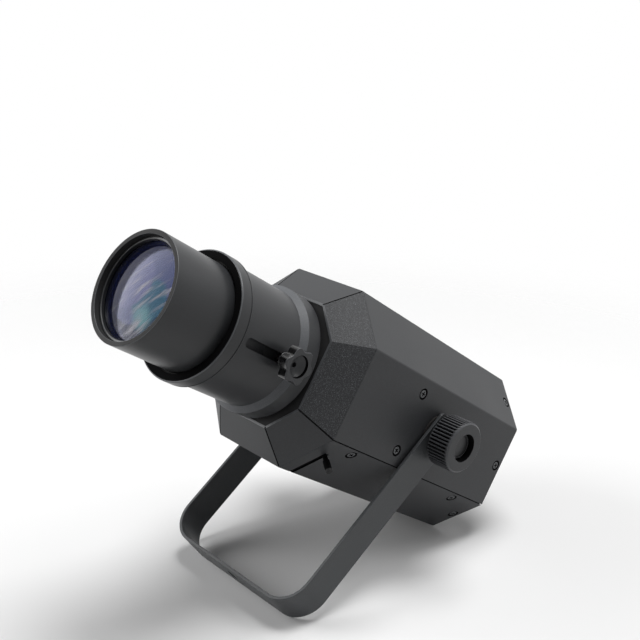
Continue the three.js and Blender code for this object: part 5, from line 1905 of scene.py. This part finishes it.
@dataclass
class Yoke:
    """U of flat bar with large bends, rounded arm ends, pivot holes and a crossbar hole."""

    outer: float = 90.0
    thickness: float = 3.0
    width: float = 35.0
    drop: float = 214.0
    bend: float = 30.0
    bend_steps: int = 16
    rise: float = 18.0
    corner: float = 6.0
    hole: float = 6.5
    edge: float = 0.45

    def build(self) -> None:
        """Builds and dresses the yoke."""
        aside = self.outer - self.thickness / 2
        bottom = -self.drop + self.thickness / 2
        path = bpy.data.curves.new("path", "CURVE")
        path.dimensions = "3D"
        line = path.splines.new("POLY")
        line.points.add(3)
        corners = ((-aside, self.rise), (-aside, bottom), (aside, bottom), (aside, self.rise))
        for point, (x, z) in zip(line.points, corners):
            point.co = (x, 0.0, z, 1.0)
        bar_form = BentBar().run(path, {
            "Bend radius": self.bend - self.thickness / 2, "Bend steps": self.bend_steps,
            "Width": self.width, "Thickness": self.thickness, "Edge radius": self.edge,
            "Finish": YOKE_COAT.material()})
        bpy.data.curves.remove(path)
        bar_form.modified("WELD", merge_threshold=0.001)
        out = self.outer + 2
        half = self.width / 2
        for side in (1.0, -1.0):
            bar_form.cut(Form.prism(self.beside(side * half, side), Axis.X, -out, out))
        bar_form.cut(drum(SHELL.pivot_hole, -out, out, Axis.X, (0.0, 0.0)))
        bar_form.cut(drum(self.hole, -self.drop - 2, -self.drop + 6, Axis.Z, (0.0, 0.0)))
        bar_form.eased(0.4, 2, 50.0)
        dress(bar_form, "yoke_bar", (YOKE_COAT,), ["yoke"], Frame.YOKE)

    def beside(self, edge: float, side: float) -> list[Pair]:
        """Outline of what is cut away to round one corner of both arms.

        Args:
            edge: the arm's edge.
            side: 1 for the front edge, -1 for the rear one.

        Returns:
            The outline.
        """
        middle = (edge - side * self.corner, self.rise - self.corner)
        steps = [math.pi / 2 * (1 - i / 8) for i in range(9)]
        curve = [
            (middle[0] + side * self.corner * math.cos(a), middle[1] + self.corner * math.sin(a))
            for a in steps]
        return [
            (edge + side * 3, self.rise + 3), (middle[0], self.rise + 3), *curve,
            (edge + side * 3, middle[1])]


@dataclass
class RearPanel:
    """Rear panel with its display, buttons, sockets and safety eye."""

    screws: Screws
    rim: float = 16.0
    bend: float = 2.4
    gap: float = 0.3
    button: float = 4.0
    button_up: float = 26.0
    button_pitch: float = 16.0
    button_count: int = 4
    button_rise: float = 1.8
    button_reach: float = 9.0
    glass_half: Pair = (21.3, 9.3)
    glass_up: float = 49.0
    glass_rise: float = 1.2
    data_aside: float = 56.0
    data_hole: float = 11.8
    power_aside: float = 22.0
    power_half: Pair = (12.8, 9.3)
    socket_up: float = -12.0
    vent_width: float = 80.0
    vent_height: float = 3.4
    vent_pitch: float = 7.0
    vent_count: int = 6
    vent_up: float = -71.0
    vent_round: float = 1.6
    digit: Pair = (4.0, 8.0)
    digit_pitch: float = 7.0
    stroke: float = 0.9

    def build(self) -> None:
        """Builds and dresses every piece."""
        self.build_pan()
        self.build_buttons()
        self.build_display()
        for node in ("data_inlet", "data_outlet", "power_inlet", "power_outlet"):
            socket = Form.of_node(node).eased(0.3, 2, 40.0)
            socket.painted(1, self.is_contact)
            dress(socket, f"{node}_socket", (BLACK_PLASTIC, CONTACT), [node])
        eye = Form.of_node("safety_eye").eased(0.6, 3, 40.0)
        dress(eye, "safety_eye_loop", (RING_STEEL,), ["safety_eye"])

    def is_contact(self, centre: Vector, normal: Vector) -> bool:
        """Whether a face of a socket belongs to one of its contacts.

        Args:
            centre: middle of the face.
            normal: its outward direction.

        Returns:
            Whether it does.
        """
        inlet = centre.x > 0
        deep = SHELL.length - 14.0 < centre.y < SHELL.length - 2.2
        if not inlet or not deep:
            return False
        if centre.x > self.data_aside - 13:
            spot = (centre.x - self.data_aside, centre.z - self.socket_up)
            reach = min(
                math.hypot(spot[0] - x, spot[1] - z) for x, z in ((4.5, 0.0), (0.0, 4.5), (-4.5, 0.0)))
            return reach < 1.35
        spot = centre.x - self.power_aside
        reach = min(abs(spot - x) for x in (-6.5, 0.0, 6.5))
        return reach < 1.2 and abs(centre.z - self.socket_up) < 2.3

    def build_pan(self) -> None:
        """Flat face with a bent rim and all its cut-outs."""
        front, back = SHELL.length - self.rim, SHELL.length - SHELL.sheet
        outline = filleted(
            octagon(SHELL.half - SHELL.lining, inset_leg(SHELL.chamfer, SHELL.lining)), self.bend)
        depth = SHELL.lining + SHELL.sheet
        hollow = filleted(
            octagon(SHELL.half - depth, inset_leg(SHELL.chamfer, depth)), self.bend - SHELL.sheet)
        pan = Form.prism(outline, Axis.Y, front, SHELL.length)
        pan.cut(Form.prism(hollow, Axis.Y, front - 2, back))
        start, end = back - 2, SHELL.length + 2
        cutters = [
            drum(self.button + self.gap, start, end, Axis.Y, (self.button_place(i), self.button_up))
            for i in range(self.button_count)]
        cutters.append(self.window(0.0, self.glass_up, self.glass_half, start, end))
        for side in (1.0, -1.0):
            cutters.append(
                drum(self.data_hole, start, end, Axis.Y, (side * self.data_aside, self.socket_up)))
            cutters.append(
                self.window(side * self.power_aside, self.socket_up, self.power_half, start, end))
        pan.cut(*cutters)
        wide, low = self.vent_width / 2, self.vent_up
        slot = filleted(rectangle((-wide, low), (wide, low + self.vent_height)), self.vent_round)
        step = Vector((0.0, 0.0, self.vent_pitch))
        pan.cut(row_of_slots(slot, Axis.Y, (start, end), self.vent_count, step))
        pan.cut(*self.screws.countersinks()).eased(0.3, 2, 50.0)
        # Countersink trenches get painted shade
        pan.painted(1, self.screws.in_countersink)
        dress(pan, "rear_panel_pan", (COVER_COAT, NEAR_BLACK_AND_SHADE), ["rear_panel"])

    def window(self, aside: float, up: float, half: Pair, start: float, end: float) -> Form:
        """Cutter for a rectangular window with slightly rounded corners.

        Args:
            aside: its middle across the panel.
            up: its middle's height.
            half: half its width and height.
            start: where the cutter starts.
            end: where it ends.

        Returns:
            The cutter.
        """
        outline = filleted(
            rectangle((aside - half[0], up - half[1]), (aside + half[0], up + half[1])), 0.8, 3)
        return Form.prism(outline, Axis.Y, start, end)

    def button_place(self, number: int) -> float:
        """Place of a button across the panel."""
        return (number - (self.button_count - 1) / 2) * self.button_pitch

    def build_buttons(self) -> None:
        """Buttons with softly rounded, slightly hollow faces."""
        back = SHELL.length - SHELL.sheet - self.button_reach
        face = SHELL.length + self.button_rise
        points = [
            (0.0, back), (self.button, back), (self.button, face), (2.6, face), (1.6, face - 0.15),
            (0.0, face - 0.2)]
        for number in range(self.button_count):
            cap = Form.turned(filleted(points, {2: 0.8}, 4), ROUND)
            cap.moved(Matrix.Translation((self.button_place(number), 0.0, self.button_up)))
            node = f"button_{number + 1}"
            dress(cap, f"{node}_cap", (BLACK_PLASTIC,), [node])

    def build_display(self) -> None:
        """Display module with its window and three lit digits in one piece."""
        module = Form.of_node("display").eased(0.2, 2, 40.0)
        face = SHELL.length - SHELL.sheet + self.glass_rise
        lit = []
        for place, strokes in zip((-1, 0, 1), ("abcdef", "abcdef", "bc")):
            lit += self.digit_bars(-place * self.digit_pitch, face, strokes)
        module.painted(0, lambda centre, normal: True)
        bars = lit[0].joined(lit[1:])
        bars.painted(1, lambda centre, normal: True)
        module.joined([bars])
        dress(module, "display_window", (SCREEN, DIGITS), ["display"])

    def digit_bars(self, aside: float, face: float, strokes: str) -> list[Form]:
        """Lit strokes of one digit, as seen from behind the housing.

        Args:
            aside: the digit's middle across the panel.
            face: where the window's face lies.
            strokes: letters of the lit strokes.

        Returns:
            A bar for each stroke.
        """
        wide, high = self.digit
        half = self.stroke / 2
        ends = {
            "a": ((-1, 2), (1, 2)), "b": ((-1, 0), (-1, 2)), "c": ((-1, -2), (-1, 0)),
            "d": ((-1, -2), (1, -2)), "e": ((1, -2), (1, 0)), "f": ((1, 0), (1, 2))}
        bars = []
        for stroke in strokes:
            (ax, az), (bx, bz) = ends[stroke]
            low = (aside + ax * wide / 2, self.glass_up + az * high / 4)
            top = (aside + bx * wide / 2, self.glass_up + bz * high / 4)
            upright = ax == bx
            pad = (half, -half * 1.4) if upright else (-half * 1.4, half)
            bars.append(slab(
                (low[0] - pad[0], face - 0.05, low[1] - pad[1]),
                (top[0] + pad[0], face + 0.06, top[1] + pad[1])))
        return bars


def coat_interior() -> None:
    """Gives the CAD nodes inside the housing their finishes."""
    finishes: dict[str, Surface] = {
        "gate_plate": MATT_BLACK, "iris_cage": MATT_BLACK, "engine_bracket": BARE_ALUMINIUM,
        "reflector": BARE_ALUMINIUM, "led_board": PHOSPHOR, "heat_sink": BARE_ALUMINIUM,
        "fan_frame": BLACK_PLASTIC, "fan_rotor": BLACK_PLASTIC, "power_supply": BARE_ALUMINIUM,
        "control_board": BOARD_GREEN, "friction_washer_right": FIBRE, "friction_washer_left": FIBRE}
    finishes.update({f"iris_blade_{i}": BLACK_STEEL for i in range(1, 7)})
    for node, finish in finishes.items():
        coat_node(node, finish)


# Studio


@dataclass(frozen=True)
class FadingFloor(Surface):
    """Matt floor that fades out far from the object.

    Args:
        name: its name.
        shade: sRGB hex colour.
        fade: where the fade starts and ends, in metres from the middle.
    """

    name: str
    shade: str
    fade: Pair

    def shader(self, tree: Tree, spot: Feed) -> Node:
        """Adds the nodes of the floor.

        Args:
            tree: the material's empty tree.
            spot: the place on the floor, in metres.

        Returns:
            The shader.
        """
        reach = add_node(tree, "ShaderNodeVectorMath", {0: spot}, operation="LENGTH")
        share = add_node(tree, "ShaderNodeMapRange", {
            "Value": reach.outputs["Value"], "From Min": self.fade[0],
            "From Max": self.fade[1]}, interpolation_type="SMOOTHERSTEP")
        matt = add_node(tree, "ShaderNodeBsdfPrincipled", {
            "Base Color": linear(self.shade), "Roughness": 0.9, "Specular IOR Level": 0.1})
        clear = add_node(tree, "ShaderNodeBsdfTransparent")
        return add_node(tree, "ShaderNodeMixShader", {0: share, 1: matt, 2: clear})


# Pale paper: no sheen, so that the shadow lies soft on it
PALE_FLOOR = FadingFloor("pale studio floor", "#e9e9e9", (0.45, 1.2))


@dataclass(frozen=True)
class Softbox:
    """Soft oval lamp.

    Args:
        name: its name.
        place: where it stands, in metres.
        aim: the point it shines at.
        size: its width and height.
        watts: its power.
        shade: sRGB hex colour of its light.
    """

    name: str
    place: Triple
    aim: Triple
    size: Pair
    watts: float
    shade: str = "#ffffff"

    def build(self) -> None:
        """Adds the lamp."""
        lamp = bpy.data.lights.new(self.name, "AREA")
        lamp.shape = "ELLIPSE"
        lamp.size, lamp.size_y = self.size
        lamp.energy = self.watts
        lamp.color = linear(self.shade)[:3]
        holder = new_object(self.name, lamp)
        holder.location = self.place
        direction = Vector(self.aim) - Vector(self.place)
        holder.rotation_euler = direction.to_track_quat("-Z", "Y").to_euler()


@dataclass
class Studio:
    """Pale floor, soft lamps, plain surroundings and the camera.

    Args:
        focal: focal length in millimetres on a sensor 36 mm wide.
        shift: shift of the camera across and up.
        turn: camera's right, down and ahead in the housing's frame.
        offset: housing's origin in the camera's frame.
        unit: millimetres in a unit of the offset.
        surround: strength of the surroundings as light.
        floor_radius: radius of the floor in metres.
    """

    focal: float = 57.256
    shift: Pair = (0.01558, 0.11252)
    turn: tuple[Triple, ...] = (
        (0.66469629, 0.61133285, 0.42947757), (0.31383579, 0.29320177, -0.90307243),
        (-0.67800143, 0.73505433, 0.003032))
    offset: Triple = (-21.54, -28.52, 1074.38)
    unit: float = 0.85
    surround: float = 0.1
    floor_radius: float = 3.0

    def build(self) -> None:
        """Adds everything round the object."""
        self.build_camera()
        self.build_floor()
        self.build_surround()
        centre = (0.0, 0.0, 0.18)
        for softbox in (
            Softbox("key", (0.1, 0.5, 2.3), centre, (1.2, 1.2), 47.0),
            Softbox("front", (-1.36, -1.43, 1.11), centre, (1.7, 1.7), 31.0),
            Softbox("right_rear", (0.9, 1.4, 1.7), centre, (1.0, 1.0), 9.6),
        ):
            softbox.build()

    def build_camera(self) -> None:
        """Places the camera where the photograph's lines put it."""
        housing = STANCE.places[Frame.HOUSING]
        turn = Matrix(self.turn)
        spot = -(turn.transposed() @ Vector(self.offset)) * self.unit
        axes = housing.to_3x3().normalized()
        right, down, ahead = (axes @ row for row in turn)
        data = bpy.data.cameras.new("camera")
        data.sensor_width = 36.0
        data.lens = self.focal
        data.shift_x, data.shift_y = self.shift
        camera = new_object("camera", data)
        stance = Matrix((right, -down, -ahead)).transposed().to_4x4()
        camera.matrix_world = Matrix.Translation(housing @ spot) @ stance
        bpy.context.scene.camera = camera

    def build_floor(self) -> None:
        """Adds the pale floor."""
        shape = bmesh.new()
        bmesh.ops.create_circle(shape, cap_ends=True, segments=128, radius=self.floor_radius)
        mesh = bpy.data.meshes.new("floor")
        shape.to_mesh(mesh)
        shape.free()
        mesh.materials.append(PALE_FLOOR.material())
        new_object("floor", mesh)

    def build_surround(self) -> None:
        """Plain surroundings: white to the camera, in reflections and in glass, dim as light."""
        world = bpy.data.worlds.new("surround")
        world.use_nodes = True
        tree = world.node_tree
        tree.nodes.clear()
        path = add_node(tree, "ShaderNodeLightPath").outputs
        seen = path["Is Camera Ray"]
        for kind in ("Is Glossy Ray", "Is Transmission Ray"):
            seen = add_node(tree, "ShaderNodeMath", {0: seen, 1: path[kind]}, operation="MAXIMUM")
        level = add_node(
            tree, "ShaderNodeMapRange", {"Value": seen, "To Min": self.surround, "To Max": 1.0})
        light = add_node(tree, "ShaderNodeBackground", {"Color": (1.0, 1.0, 1.0, 1.0), "Strength": level})
        add_node(tree, "ShaderNodeOutputWorld", {"Surface": light})
        bpy.context.scene.world = world


def main() -> None:
    """Builds the spotlight and its studio."""
    logging.basicConfig(level=logging.INFO, format="%(name)s: %(message)s")
    bpy.context.scene.view_settings.view_transform = "Standard"
    screws = Screws()
    HousingShell(screws).build()
    Barrel().build()
    Clamps().build()
    IrisLever().build()
    Yoke().build()
    RearPanel(screws).build()
    screws.build()
    coat_interior()
    Studio().build()


if __name__ == "__main__":
    main()
